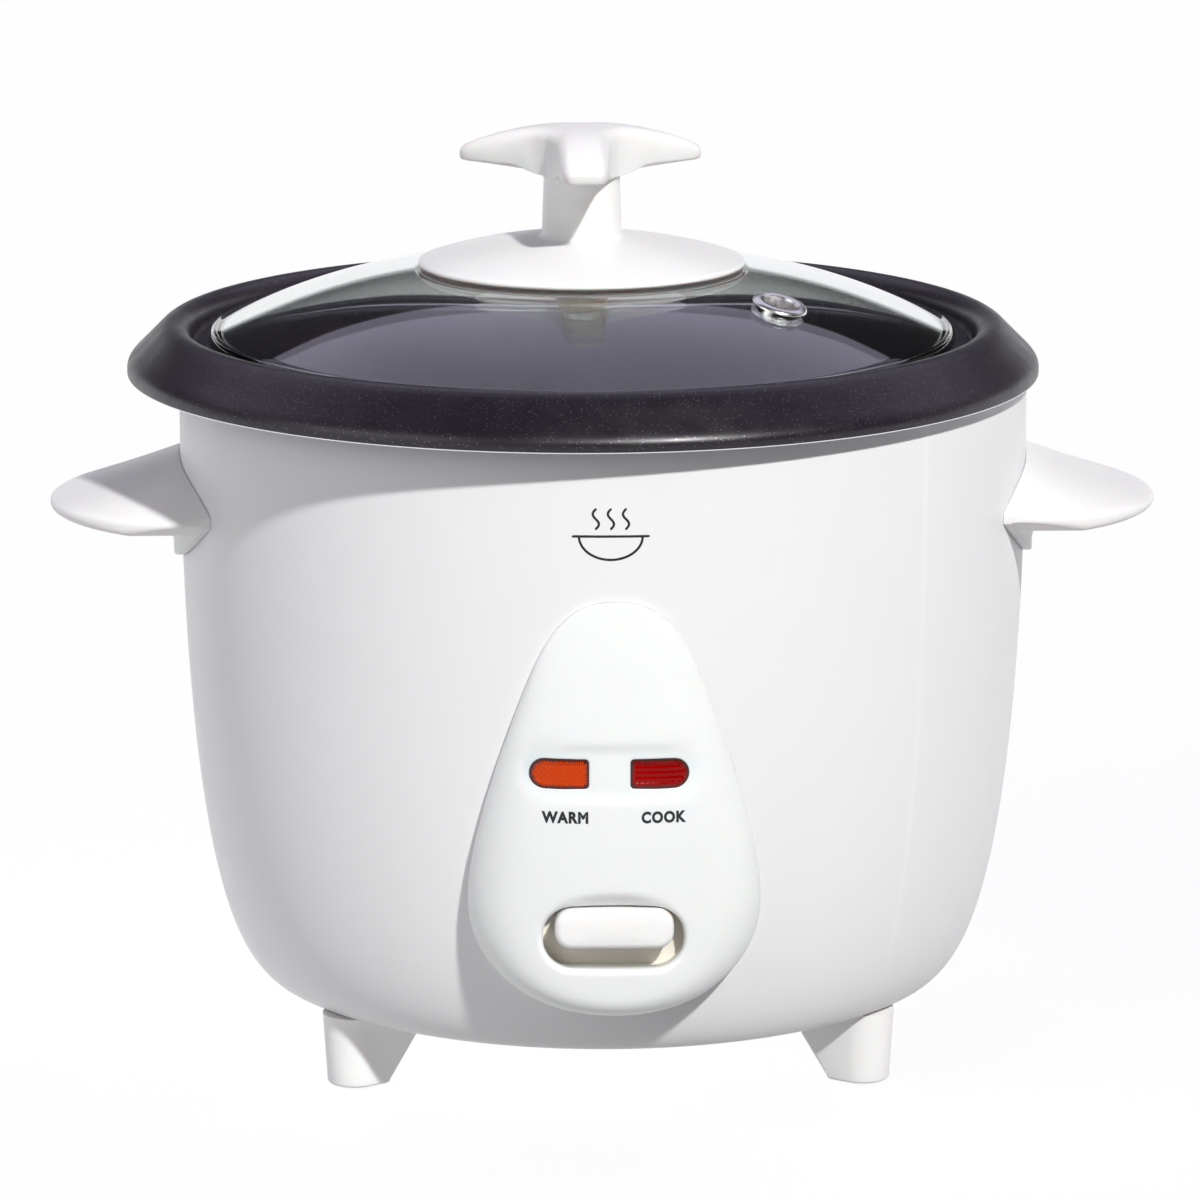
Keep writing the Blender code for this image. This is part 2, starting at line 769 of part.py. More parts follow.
def add_panel_pocket(panel):
    """The walled pocket behind the lever slot, the lamp windows and the arm's way through."""
    slot_mid = (SLOT_X, sum(SLOT_Z) / 2)
    half_h = (SLOT_Z[1] - SLOT_Z[0]) / 2
    wall_corner = SLOT_CORNER + POCKET_WALL
    half_sizes = (SLOT_HALF_W + POCKET_WALL, half_h + POCKET_WALL)
    walls = round_ended(slot_mid, *half_sizes, wall_corner, wall_corner)
    join(panel, extruded(walls, "Y", POCKET_FRONT_Y, POCKET_BACK_Y + POCKET_WALL), "pocket")
    slot = round_ended(slot_mid, SLOT_HALF_W, half_h, SLOT_CORNER, SLOT_CORNER)
    windows = [extruded(slot, "Y", -120, POCKET_BACK_Y)]
    for side, x in zip((-1, 1), LENS_CENTRES_X):
        windows.append(extruded(lens_outline(side, x, GAP), "Y", -120, -100))
    cut(panel, merge_bodies(windows), "windows")
    half_w, low, high = ARM_SLOT
    cut(panel, box((-half_w, -104, low), (half_w, -80, high)), "arm_slot")


def lens_outline(side, x, grow):
    """A lens that is round at its outer end and square at its inner one."""
    half_h = LENS_H / 2 + grow
    outer = half_h - 0.01
    inner = 0.0
    left, right = (outer, inner) if side < 0 else (inner, outer)
    return round_ended((x, LENS_Z), LENS_W / 2 + grow, half_h, left, right)


def make_lamps(mats):
    """Two lenses in the panel, and two lamps on a holder behind them."""
    names = (("warm", "amber"), ("cook", "red"))
    for side, x, (name, colour) in zip((-1, 1), LENS_CENTRES_X, names):
        body = extruded(lens_outline(side, x, 0.0), "Y", -108.2, -104.2)
        solid(f"{name}_lens", *body, mats[colour])
        lamp = tube_between((x - 5, -101.0, LENS_Z), (x + 5, -101.0, LENS_Z), 2.0, 12)
        solid(f"{name}_lamp", *lamp, mats["neon"])
    holder = extruded(round_ended((-1.5, LENS_Z), 19.0, 5.5, 1.5, 1.5, 3), "Y", -98.6, -96.6)
    solid("lamp_holder", *holder, mats["dark_plastic"])


def make_panel_screws(mats):
    """Screws from inside the shell into the panel's posts."""
    for name, sx in (("left", -1), ("right", 1)):
        x = sx * PANEL_SCREW_X
        inside = front_of_housing(abs(x) + 3.2, PANEL_SCREW_Z) + SHELL_WALL + GAP
        back = (x, inside + 2.6, PANEL_SCREW_Z)
        neck = (x, inside + 0.6, PANEL_SCREW_Z)
        tip = (x, inside - 8.0, PANEL_SCREW_Z)
        screw = solid(f"panel_screw_{name}", *tube_between(back, neck, 3.0), mats["steel"])
        join(screw, tube_between((x, inside + 1.6, PANEL_SCREW_Z), tip, 1.3, 8), "shank")


# ------------------------------------------------------------------ heater and thermostat

def make_heating_plate(mats):
    """The cast plate with the element's ridge under it and a hole for the sensor."""
    profile = [
        (HEATER_HOLE_R, HEATER_TOP),
        (HEATER_R - 3.0, HEATER_TOP),
        (HEATER_R - 0.8, HEATER_TOP - 0.8),
        (HEATER_R, HEATER_TOP - 3.0),
        (HEATER_R, 68.0),
        (HEATER_R - 2.0, 66.0),
        (62.0, 66.0),
        (59.0, 59.0),
        (51.0, 59.0),
        (48.0, 66.0),
        (HEATER_HOLE_R, 66.0),
    ]
    solid("heating_plate", *turned(profile, steps=ROUND), mats["aluminium"])
    for i, degrees in enumerate((90, 210, 330), start=1):
        angle = math.radians(degrees)
        x = 66.0 * math.cos(angle)
        y = 66.0 * math.sin(angle)
        foot = PLATE_Z + PLATE_THICK + GAP
        post = tube_between((x, y, foot), (x, y, 66.0 - GAP), 2.5)
        solid(f"plate_post_{i}", *post, mats["galvanised"])
    for name, sx in (("left", -1), ("right", 1)):
        end = (sx * 20.0, 51.0, 59.0 - GAP)
        bar = tube_between((sx * 20.0, 51.0, 44.0), end, 2.6, 12)
        solid(f"element_terminal_{name}", *bar, mats["steel"])


def make_thermostat(mats, sensor, plunger):
    """The sprung sensor with its ferrite, and the magnet on its rod, in a fixed guide."""
    guide = [
        (GUIDE_R, GUIDE_TOP),
        (GUIDE_R, 51.2),
        (30.0, 51.2),
        (30.0, 50.0),
        (GUIDE_R, 50.0),
        (GUIDE_R, GUIDE_BOTTOM),
        (2.4, GUIDE_BOTTOM),
        (2.4, GUIDE_BOTTOM + 1.2),
        (GUIDE_R - 1.0, GUIDE_BOTTOM + 1.2),
        (GUIDE_R - 1.0, GUIDE_TOP),
    ]
    body = solid("thermostat_guide", *turned(guide, steps=24), mats["galvanised"])
    studs = []
    for sx in (-1, 1):
        studs.append(tube_between((sx * 26.5, 0, 50.6), (sx * 26.5, 0, 66.0 - GAP), 2.2, 12))
    join(body, merge_bodies(studs), "studs")
    cup = [
        (0, HEATER_TOP),
        (CUP_R - 1.5, HEATER_TOP),
        (CUP_R, HEATER_TOP - 1.5),
        (CUP_R, 57.0),
        (CUP_R - 0.9, 57.0),
        (CUP_R - 0.9, HEATER_TOP - 1.5),
        (0, HEATER_TOP - 1.5),
    ]
    cup_body = turned(cup, steps=24, closed=False)
    solid("sensor_cup", *cup_body, mats["aluminium"], sensor)
    ferrite = tube_between((0, 0, 66.0), (0, 0, HEATER_TOP - 1.5 - GAP), 8.0, 20)
    solid("sensor_ferrite", *ferrite, mats["ferrite"], sensor)
    spring_low = GUIDE_BOTTOM + 2.2
    wire("sensor_spring", helix((0, 0), 12.5, spring_low, 73.2, 4), 0.6, mats["steel"], sensor)
    magnet = tube_between((0, 0, 52.0), (0, 0, 58.2), 8.0, 20)
    solid("magnet", *magnet, mats["ferrite"], plunger)
    rod = [
        (0, 52.0 - GAP), (1.5, 52.0 - GAP), (1.5, 28.4), (5.0, 28.4),
        (5.0, 27.0), (1.5, 27.0), (1.5, 24.5), (0, 24.5),
    ]
    solid("plunger_rod", *turned(rod, steps=16, closed=False), mats["brass"], plunger)
    coil = helix((0, 0), 3.4, 29.3, GUIDE_BOTTOM - 0.8, 3)
    wire("plunger_spring", coil, 0.5, mats["steel"], plunger)


# ------------------------------------------------------------------ lever and switch

def make_lever(mats, lever):
    """The plastic paddle on a cranked steel arm that turns on a pin."""
    mid_z = sum(LEVER_Z) / 2
    half_h = (LEVER_Z[1] - LEVER_Z[0]) / 2
    sections = ((LEVER_Y[0], 2.2), (LEVER_Y[0] + 0.7, 0.7), (LEVER_Y[0] + 2.2, 0.0), (LEVER_Y[1], 0.0))
    loops = []
    for y, inset in sections:
        outline = round_ended(
            (LEVER_X, mid_z), LEVER_HALF_W - inset, half_h - inset, 4.3 - inset, 4.3 - inset
        )
        loops.append([(x, y, z) for x, z in outline])
    paddle = solid("cook_lever", *rings(loops), mats["white_plastic"], lever)
    cut(paddle, box((-ARM_HALF_W - GAP, -107.6, 52.7), (ARM_HALF_W + GAP, -90, 55.3)), "arm_socket")
    outline = [(-107.3, 55.0), (-64.5, 55.0)]
    outline += arc(PIVOT[1:], 4.5, 167, 13, 6)
    outline += [(-52.5, 45.6), (-34.0, 45.0), (-18.5, 24.0), (6.0, 24.0), (6.0, 22.4), (-19.6, 22.4)]
    outline += [(-35.2, 43.2), (-54.5, 43.6), (-57.5, 49.2)]
    outline += arc(PIVOT[1:], 4.5, 290, 193, 4)
    outline += [(-107.3, 53.0)]
    arm = solid("lever_arm", *extruded(outline, "X", -ARM_HALF_W, ARM_HALF_W), mats["galvanised"], lever)
    cut(arm, tube_between((-9, *PIVOT[1:]), (9, *PIVOT[1:]), 1.75, 16), "pin_hole")
    pin = tube_between((-21.0, *PIVOT[1:]), (21.0, *PIVOT[1:]), 1.45)
    solid("lever_pivot_pin", *pin, mats["steel"])


def make_switch(mats, button):
    """The bracket that carries the pin, and the micro switch that the arm presses."""
    floor_z = PLATE_Z + PLATE_THICK + GAP
    half = BRACKET_HALF_W
    wall = 1.2
    outline = [
        (-half - wall, floor_z), (half + wall, floor_z), (half + wall, 58.4), (half, 58.4),
        (half, floor_z + wall), (-half, floor_z + wall), (-half, 58.4), (-half - wall, 58.4),
    ]
    bracket = solid("switch_bracket", *extruded(outline, "Y", -68.5, -36.0), mats["galvanised"])
    cut(bracket, tube_between((-24, *PIVOT[1:]), (24, *PIVOT[1:]), 1.75, 16), "pin_holes")
    cut(bracket, tube_between((0, -64, 19), (0, -64, 24), 1.9, 12), "screw_hole")
    cut(bracket, box((-24, -50.0, 30.0), (-10, -30.0, 62.0)), "left_relief")
    body = box((-4.0, BUTTON_Y - 5, 48.6), (half - GAP, BUTTON_Y + 5, 58.4))
    switch = solid("micro_switch", *body, mats["dark_plastic"])
    cut(switch, tube_between((0, BUTTON_Y, 46), (0, BUTTON_Y, 56.0), 1.6, 12), "button_hole")
    plunger = tube_between((0, BUTTON_Y, 45.7), (0, BUTTON_Y, 53.6), 1.2, 12)
    solid("switch_button", *plunger, mats["boss_plastic"], button)
    screw = tube_between((0, -64, 16.8), (0, -64, 19.2), 3.4)
    base_screw = solid("base_screw", *screw, mats["steel"])
    join(base_screw, tube_between((0, -64, 18.4), (0, -64, 25.0), 1.5, 10), "shank")


# ------------------------------------------------------------------ inlet and wiring

def make_inlet(mats):
    """The two-pin inlet in the back, with its terminal block and leads."""
    mid_z = sum(INLET_Z) / 2
    shape = round_ended((0, mid_z), INLET_HALF_W, INLET_Z[1] - mid_z, 1.5, 1.5, 3)
    socket = solid("inlet_socket", *extruded(shape, "Y", *INLET_Y), mats["dark_plastic"])
    back = INLET_Y[1] - INLET_CAVITY_DEPTH
    low = (-INLET_CAVITY_HALF_W, back, INLET_CAVITY_Z[0])
    cut(socket, box(low, (INLET_CAVITY_HALF_W, 105, INLET_CAVITY_Z[1])), "cavity")
    holes = []
    for sx in (-1, 1):
        x = sx * PIN_X
        holes.append(tube_between((x, 70, mid_z), (x, back + 3, mid_z), PIN_R + GAP, 12))
    cut(socket, merge_bodies(holes), "pin_holes")
    for name, sx in (("left", -1), ("right", 1)):
        x = sx * PIN_X
        pin = tube_between((x, 75.0, mid_z), (x, 96.5, mid_z), PIN_R, 12)
        solid(f"inlet_pin_{name}", *pin, mats["brass"])
    block_top = PLATE_Z + PLATE_THICK + GAP + 12
    block = box((-44.0, 22.0, PLATE_Z + PLATE_THICK + GAP), (-26.0, 36.0, block_top))
    solid("terminal_block", *block, mats["lead"])
    make_lead("lead_live", [(-6.5, 74.2, 40), (-10, 64, 38), (-24, 48, 38), (-36, 37.5, 37), (-37, 32, 35)], mats)
    make_lead("lead_neutral", [(6.5, 74.2, 40), (12, 66, 38), (19, 56, 38), (20, 51, 40), (20, 51, 43.2)], mats)
    make_lead("lead_element", [(-20, 51, 43.2), (-20, 49, 39), (-26, 40, 36.5), (-31, 32, 34.8)], mats)


def make_lead(name, points, mats):
    """An insulated lead inside the base."""
    wire(name, smooth_route(points, 4), 1.1, mats["lead"], resolution=2)


def make_small_heaters(mats):
    """The keep-warm band behind the liner and the thermal fuse under the heater."""
    low, high = 100.0, 124.0
    radii = (LINER_R + GAP, LINER_R + 2.2)
    loops = []
    steps = 8
    for i in range(steps + 1):
        angle = math.radians(60 + 60 * i / steps)
        c = math.cos(angle)
        s = math.sin(angle)
        corners = ((radii[0], low), (radii[1], low), (radii[1], high), (radii[0], high))
        loops.append([(r * c, r * s, z) for r, z in corners])
    solid("keep_warm_heater", *rings(loops), mats["boss_plastic"])
    fuse = tube_between((30, 22, 40), (44, 22, 40), 2.2, 12)
    solid("thermal_fuse", *fuse, mats["lead"])


# ------------------------------------------------------------------ pot and lid

def pot_profile():
    """The pot's section: outside from the cut edge up, over the rim and in, then back outside."""
    wall = POT_WALL
    seat_r = 94.6
    inner_r = POT_R - wall
    upper = [(RIM_R, RIM_EDGE_Z), (RIM_R, 167.0), (RIM_R - 1.6, 169.7), (101.8, 176.4)]
    upper += [(100.2, 177.0), (98.4, 177.2), (96.4, 176.6), (95.2, 175.0), (seat_r, 172.8)]
    upper += [(seat_r - 1.0, SEAT_Z), (inner_r + 2.0, SEAT_Z), (inner_r, SEAT_Z - 2.0)]
    floor = POT_FLOOR + wall
    corner = POT_CORNER - wall
    upper += arc((inner_r - corner, floor + corner), corner, 0, -90, 5)
    upper.append((0, floor))
    lower = [(0, POT_FLOOR)]
    lower += arc((POT_R - POT_CORNER, POT_FLOOR + POT_CORNER), POT_CORNER, -90, 0, 5)
    under = SEAT_Z - wall
    lower += [(POT_R, under - 1.2), (POT_R + 1.2, under), (seat_r + 1.0, under)]
    lower += [(seat_r + 1.7, 172.6), (96.9, 174.6), (98.4, 175.6), (100.4, 175.3)]
    lower += [(RIM_R - 2.9, 168.9), (RIM_R - wall, 166.8), (RIM_R - wall, RIM_EDGE_Z)]
    return upper, lower


def make_pot(mats, pot):
    """The lift-out pot, with the seat for the lid inside its rim."""
    upper, lower = pot_profile()
    section = upper[::-1] + lower[::-1]
    solid("inner_pot", *turned(section, (POT_X, 0.0), closed=False), mats["pot_coat"], pot)


def glass_profile():
    """The glass with a round edge and a hole for the knob's screw."""
    hole_r = 3.4
    stations = (hole_r, KNOB_FLAT_R, 45.5, DOME_START_R, 72.0, GLASS_R - 2.0)
    upper = [(r, glass_top(r)) for r in stations]
    edge = (GLASS_R - 2.0, glass_top(GLASS_R - 2.0) - GLASS_THICK / 2)
    upper += arc(edge, GLASS_THICK / 2, 45, -45, 2)
    lower = [(r, glass_top(r) - GLASS_THICK) for r in reversed(stations)]
    return upper + lower


def vent_frame():
    """The vent's middle on the glass and the direction that it faces."""
    direction = Vector((math.cos(VENT_ANGLE), math.sin(VENT_ANGLE), 0.0))
    normal = direction * (VENT_R / DOME_R) + Vector((0, 0, math.sqrt(1 - (VENT_R / DOME_R) ** 2)))
    middle = Vector((LID_X, 0, glass_top(VENT_R))) + direction * VENT_R
    return middle, normal


def make_steam_vent(mats, lid):
    """The steel grommet that lines the vent hole."""
    profile = [
        (VENT_HOLE_R, 1.4), (VENT_FLANGE_R - 0.8, 1.4), (VENT_FLANGE_R, 0.9), (VENT_FLANGE_R, 0.45),
        (4.9, 0.45), (4.9, -GLASS_THICK - 0.4), (6.2, -GLASS_THICK - 0.4),
        (6.2, -GLASS_THICK - 1.0), (VENT_HOLE_R, -GLASS_THICK - 1.0),
    ]
    middle, normal = vent_frame()
    verts, faces = turned(profile, steps=20)
    turn = normal.to_track_quat("Z", "Y")
    placed = [tuple(middle + turn @ Vector(v)) for v in verts]
    solid("steam_vent", placed, faces, mats["steel"], lid)


def make_glass(mats, lid):
    """The domed glass."""
    glass = solid("lid_glass", *turned(glass_profile(), (LID_X, 0.0)), mats["lid_glass"], lid)
    middle, normal = vent_frame()
    cut(glass, tube_between(middle + normal * 6, middle - normal * 12, 5.3, 20), "vent_hole")


def star_r(offset):
    """The star top's radius at an angle from the middle of a lobe, up to half way to the next."""
    along = abs(math.cos(offset)) / LOBE_REACH
    across = abs(math.sin(offset)) / LOBE_HALF_W
    lobe = (along ** LOBE_SQUARENESS + across ** LOBE_SQUARENESS) ** (-1 / LOBE_SQUARENESS)
    return (lobe ** 6 + STAR_WAIST_R ** 6) ** (1 / 6)


def knob_angles():
    """The directions of the knob's sections, closer together at the lobes' corners."""
    angles = []
    for lobe in (-90, 30, 150):
        for offset in (-60, -42, -28, -19, -13, -9.5, -6, 0, 6, 9.5, 13, 19, 28, 42):
            angles.append((math.radians(lobe + offset), math.radians(offset)))
    return angles


def knob_section(offset):
    """The knob's outline in one direction, from its top to its base."""
    reach = star_r(offset)
    points = []
    for share in (0.4, 0.75):
        r = reach * share
        points.append((r, STAR_TOP - r * r / (2 * STAR_CROWN_R)))
    tip_top = STAR_TOP - reach * reach / (2 * STAR_CROWN_R)
    lift = min(1.0, (reach - STEM_R) / 8.0)
    tip_under = STAR_UNDER_Z + (LOBE_UNDER_Z - STAR_UNDER_Z) * max(0.0, lift)
    points.append((reach - 0.8, tip_top - 0.3))
    points.append((reach, tip_top - 1.4))
    points.append((reach, tip_under + 1.0))
    points.append((reach - 0.7, tip_under))
    points.append((STEM_R + (reach - STEM_R) * 0.3, (STAR_UNDER_Z + tip_under) / 2))
    points += [(STEM_R - 0.3, STAR_UNDER_Z - 0.8), (STEM_R, 200.0), (STEM_R + 2.4, 197.4)]
    for r in (22.0, DISC_R - 1.0):
        points.append((r, 191.4 + 6.2 * (1 - (r / DISC_R) ** 2)))
    points += [(DISC_R, 190.9), (DISC_R - 0.6, KNOB_BASE_Z)]
    return points


def make_knob(mats, lid):
    """The knob: base disc, stem and star top in one moulding, with its washer and screw."""
    directions = knob_angles()
    steps = len(directions)
    sections = [knob_section(offset) for _, offset in directions]
    loops = []
    for k in range(len(sections[0])):
        loop = []
        for (angle, _), section in zip(directions, sections):
            r, z = section[k]
            loop.append((LID_X + r * math.cos(angle), r * math.sin(angle), z))
        loops.append(loop)
    verts, faces = rings(loops)
    faces = faces[:-2]
    top = len(verts)
    verts.append((LID_X, 0, STAR_TOP))
    faces += [(top, (i + 1) % steps, i) for i in range(steps)]
    faces.append(tuple(range(top - steps, top)))
    knob = solid("lid_knob", verts, faces, mats["white_plastic"], lid)
    cut(knob, tube_between((LID_X, 0, 186), (LID_X, 0, 206), 2.4, 12), "screw_hole")
    under = KNOB_FLAT_Z - GLASS_THICK - GAP
    washer = [(2.5, under), (6.8, under), (5.2, under - 6.0), (2.5, under - 6.0)]
    solid("knob_washer", *turned(washer, (LID_X, 0.0), 20), mats["boss_plastic"], lid)
    head = tube_between((LID_X, 0, under - 8.6), (LID_X, 0, under - 6.3), 4.4)
    screw = solid("knob_screw", *head, mats["steel"], lid)
    join(screw, tube_between((LID_X, 0, under - 7.5), (LID_X, 0, 205), 2.0, 12), "shank")


# ------------------------------------------------------------------ assembly

def clear_scene():
    """Remove every object that is already there."""
    for obj in list(bpy.data.objects):
        bpy.data.objects.remove(obj)


def main():
    """Build every piece."""
    clear_scene()
    mats = make_materials()
    pot = frame_at("pot_frame", (POT_X, 0, POT_FLOOR))
    lid = frame_at("lid_frame", (LID_X, 0, SEAT_Z))
    lever = frame_at("lever_frame", PIVOT)
    sensor = frame_at("sensor_frame", (0, 0, HEATER_TOP))
    plunger = frame_at("plunger_frame", (0, 0, 52.0))
    button = frame_at("button_frame", (0, BUTTON_Y, 46.0))
    make_outer_shell(mats)
    make_inner_liner(mats)
    make_base_plate(mats)
    make_feet(mats)
    make_side_handle("side_handle_left", -1, mats)
    make_side_handle("side_handle_right", 1, mats)
    make_handle_screws(mats)
    make_control_panel(mats)
    make_lamps(mats)
    make_panel_screws(mats)
    make_heating_plate(mats)
    make_thermostat(mats, sensor, plunger)
    make_lever(mats, lever)
    make_switch(mats, button)
    make_inlet(mats)
    make_small_heaters(mats)
    make_pot(mats, pot)
    make_glass(mats, lid)
    make_knob(mats, lid)
    make_steam_vent(mats, lid)


main()
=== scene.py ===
"""The looks of the rice cooker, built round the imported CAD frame.

Shapes are written in millimetres in the frame's own axes: +Z up, the front faces -Y, and the
origin on the floor under the middle of the housing.
"""

import math

import bmesh
import bpy
import numpy as np
from mathutils import Matrix, Vector
from mathutils.geometry import delaunay_2d_cdt


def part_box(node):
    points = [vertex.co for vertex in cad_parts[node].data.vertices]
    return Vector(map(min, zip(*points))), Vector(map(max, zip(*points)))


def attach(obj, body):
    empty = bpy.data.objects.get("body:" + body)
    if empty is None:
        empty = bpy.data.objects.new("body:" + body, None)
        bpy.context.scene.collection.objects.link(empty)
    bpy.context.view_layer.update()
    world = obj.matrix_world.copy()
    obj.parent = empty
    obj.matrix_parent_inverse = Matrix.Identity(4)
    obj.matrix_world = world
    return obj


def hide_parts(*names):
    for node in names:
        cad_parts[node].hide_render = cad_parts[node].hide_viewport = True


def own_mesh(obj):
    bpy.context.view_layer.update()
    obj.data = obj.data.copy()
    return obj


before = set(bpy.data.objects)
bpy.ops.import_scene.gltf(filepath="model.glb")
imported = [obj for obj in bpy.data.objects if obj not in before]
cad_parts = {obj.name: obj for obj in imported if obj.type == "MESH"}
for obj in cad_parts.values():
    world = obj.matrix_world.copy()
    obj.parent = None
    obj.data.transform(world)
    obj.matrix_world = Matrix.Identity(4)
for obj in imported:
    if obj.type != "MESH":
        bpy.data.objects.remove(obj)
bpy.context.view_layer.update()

MM = 0.001

# Housing
SHELL_R = 102.4
SHELL_TOP = 169.0
SHELL_WALL = 1.2
STRAIGHT_END = 145.5
TAPER_CONTROLS = ((102.4, 107.5), (100.2, 29.6), (83.6, 18.05))
LINER_R = 95.5
PLATE_Z = (19.6, 20.8)
FOOT_NOSE = (60.8, 49.0)
FOOT_TURN = math.radians(33.0)
PEG_PLACE = (57.0, 46.5)
FOOT_SIDES = {"front_left": (-1, -1), "front_right": (1, -1), "rear_left": (-1, 1),
              "rear_right": (1, 1)}

# Pot and lid
POT_X = -4.8
POT_FLOOR = 76.0
SEAT_Z = 171.1
LID_X = -5.1
GLASS_EDGE_R = 88.3
GLASS_THICK = 4.0
DOME_TOP = 195.0
DOME_R = 199.0
KNOB_FLAT_Z = 189.9
KNOB_FLAT_R = 39.0
DOME_START_R = 75.0
VENT_R = 59.4
VENT_ANGLE = math.radians(-40.0)

# Knob
DISC_R = 39.4
LOBE_REACH = 32.0
LOBE_HALF_W = 6.0
LOBE_SQUARENESS = 5.5
STAR_WAIST_R = 9.2
STAR_TOP = 224.2
STAR_CROWN_R = 73.5
STAR_UNDER_Z = 212.2
LOBE_UNDER_Z = 213.8

# Side handles
HANDLE_HALF_Y = 41.5

# Front panel
PANEL_FRONT = 109.0
PANEL_CREST_Z = 75.0
PANEL_ROUND = 12.0
PANEL_ROUND_DROP = 6.0
PANEL_EDGE = 1.2
PANEL_BULGE = (176.0, 600.0)
PANEL_WALL = 1.4
LENS_CENTRES_X = (-12.9, 9.9)
LENS_Z = 90.6
LENS_HALF = (6.4, 3.1)
LAMP_BAND = (-1.3, 90.8)
LAMP_BAND_HALF = (20.6, 6.4)
LAMP_BAND_DEPTH = 0.7
SCOOP_DEPTH = 2.2
# Middle x and z, half width and half height, and for the slot its corner radius
SCOOP = (-0.6, 58.6, 15.0, 4.6)
SLOT = (-0.6, 51.7, 16.1, 7.4, 6.8)
LEVER = (-0.4, 54.2, 13.6, 4.6)
POCKET_BACK_Y = -101.4

# Inside
HEATER_TOP = 75.7

# Finishes: colour, roughness and what else sets each apart
FINISHES = {
    "white_paint": ((0.84, 0.84, 0.85), 0.34, dict(tone=0.006, grain=1500, depth=0.004)),
    "white_plastic": (
        (0.815, 0.815, 0.81), 0.36,
        dict(tone=0.008, grain=2200, depth=0.004, Subsurface_Weight=0.22, Subsurface_Scale=0.004),
    ),
    "pot_coating": ((0.009, 0.006, 0.011), 0.36, dict(tone=0.12, grain=2600, depth=0.012)),
    "cut_edge": ((0.80, 0.80, 0.82), 0.28, dict(metallic=1.0, grain=1200, stretch=(1, 1, 8))),
    "steel": ((0.80, 0.79, 0.78), 0.27, dict(metallic=1.0, tone=0.05, grain=1400, depth=0.004)),
    "galvanised": ((0.56, 0.57, 0.59), 0.42, dict(metallic=1.0, tone=0.14, grain=500, depth=0.01)),
    "cast_aluminium": ((0.74, 0.74, 0.75), 0.34, dict(metallic=1.0, tone=0.05, grain=900)),
    "brass": ((0.76, 0.58, 0.28), 0.24, dict(metallic=1.0, tone=0.06, grain=1200, depth=0.005)),
    "ferrite": ((0.07, 0.07, 0.075), 0.62, dict(tone=0.2, grain=1600, depth=0.02)),
    "dark_plastic": ((0.035, 0.035, 0.038), 0.45, dict(tone=0.12, grain=1500, depth=0.015)),
    "mica": ((0.17, 0.16, 0.12), 0.4, dict(tone=0.25, grain=700, depth=0.02)),
    "lead_cover": ((0.78, 0.76, 0.70), 0.55, dict(tone=0.05, grain=1300, depth=0.01)),
    "rubber": ((0.10, 0.10, 0.10), 0.75, dict(tone=0.15, grain=1000, depth=0.03)),
    "boss": ((0.42, 0.31, 0.11), 0.5, dict(tone=0.12, grain=1100, depth=0.01)),
    "ink": ((0.006, 0.006, 0.007), 0.5, dict(tone=0.2, grain=1800, depth=0.003)),
    "lid_glass": (
        (0.93, 0.965, 0.95), 0.012,
        dict(tone=0.01, grain=25, depth=0.012, Transmission_Weight=1.0, IOR=1.5),
    ),
    "lamp_glass": (
        (0.95, 0.90, 0.84), 0.05,
        dict(tone=0.02, grain=300, depth=0.01, Transmission_Weight=0.8, IOR=1.46),
    ),
    # Near-black red for each lens's outer edge: painted shade, standing in for the dark gap round
    # the lens.
    "lens_edge_painted_shade": ((0.045, 0.006, 0.004), 0.25, dict(tone=0.2, grain=1500, depth=0.005)),
    "amber_lens": (
        (0.72, 0.062, 0.0), 0.14,
        dict(tone=0.10, Transmission_Weight=0.3, IOR=1.49, Specular_IOR_Level=0.12),
    ),
    "red_lens": (
        (0.37, 0.0, 0.0), 0.14,
        dict(tone=0.12, Transmission_Weight=0.3, IOR=1.49, Specular_IOR_Level=0.05),
    ),
    # The pocket behind the lever slot gets a darker, warmer cream as painted shade: it stands in
    # for the warm shade inside the pocket.
    "pocket_painted_shade": ((0.82, 0.78, 0.68), 0.4, dict(tone=0.01, grain=2200, depth=0.004)),
}

# Studio: angles in degrees from the front and above the floor, the table's fade in metres
KEY_ENERGY = 3.58
KEY_DIRECTION = (25.0, 41.0)
AMBIENT = 0.015
FLOOR_GLOW = 0.88
TABLE_GLOW = 0.2
TABLE_R = (0.24, 0.36)
# Two angles and a strength each, and the angles from a box's middle where it fades
SOFTBOXES = ((-56.0, 21.0, 1.85), (-100.0, 10.0, 0.2), (110.0, 12.0, 0.3))
SOFTBOX_CONE = (8.0, 34.0)
# The wall and the high panel behind, with the parts of a unit direction over which they fade
WALL_GLOW = 1.0
WALL_BEHIND = (0.25, 0.45)
WALL_TOP = (0.155, 0.18)
HIGH_GLOW = 0.72
HIGH_BEHIND = (0.1, 0.3)
HIGH_BOTTOM = (0.49, 0.50)
SURROUND_COLOUR = (0.98, 0.98, 1.0, 1.0)
HIGH_COLOUR = (0.92, 0.88, 1.12, 1.0)

# Camera: angles in degrees, distances in metres
CAMERA_LENS = 173.05
CAMERA_TURN = -1.6
CAMERA_PITCH = 77.42
CAMERA_AWAY = 1.3753
CAMERA_HEIGHT = 0.414
CAMERA_SHIFT = 0.0007


# ---- bodies as vertices and faces

def rings(loops, close=False):
    """Bridge equal loops of points, with a cap on each end unless the last meets the first."""
    count = len(loops[0])
    verts = [point for loop in loops for point in loop]
    faces = []
    last = len(loops) if close else len(loops) - 1
    for k in range(last):
        a = k * count
        b = (k + 1) % len(loops) * count
        for i in range(count):
            j = (i + 1) % count
            faces.append((a + i, a + j, b + j, b + i))
    if not close:
        faces.append(tuple(range(count)))
        faces.append(tuple(range(len(verts) - count, len(verts))))
    return verts, faces


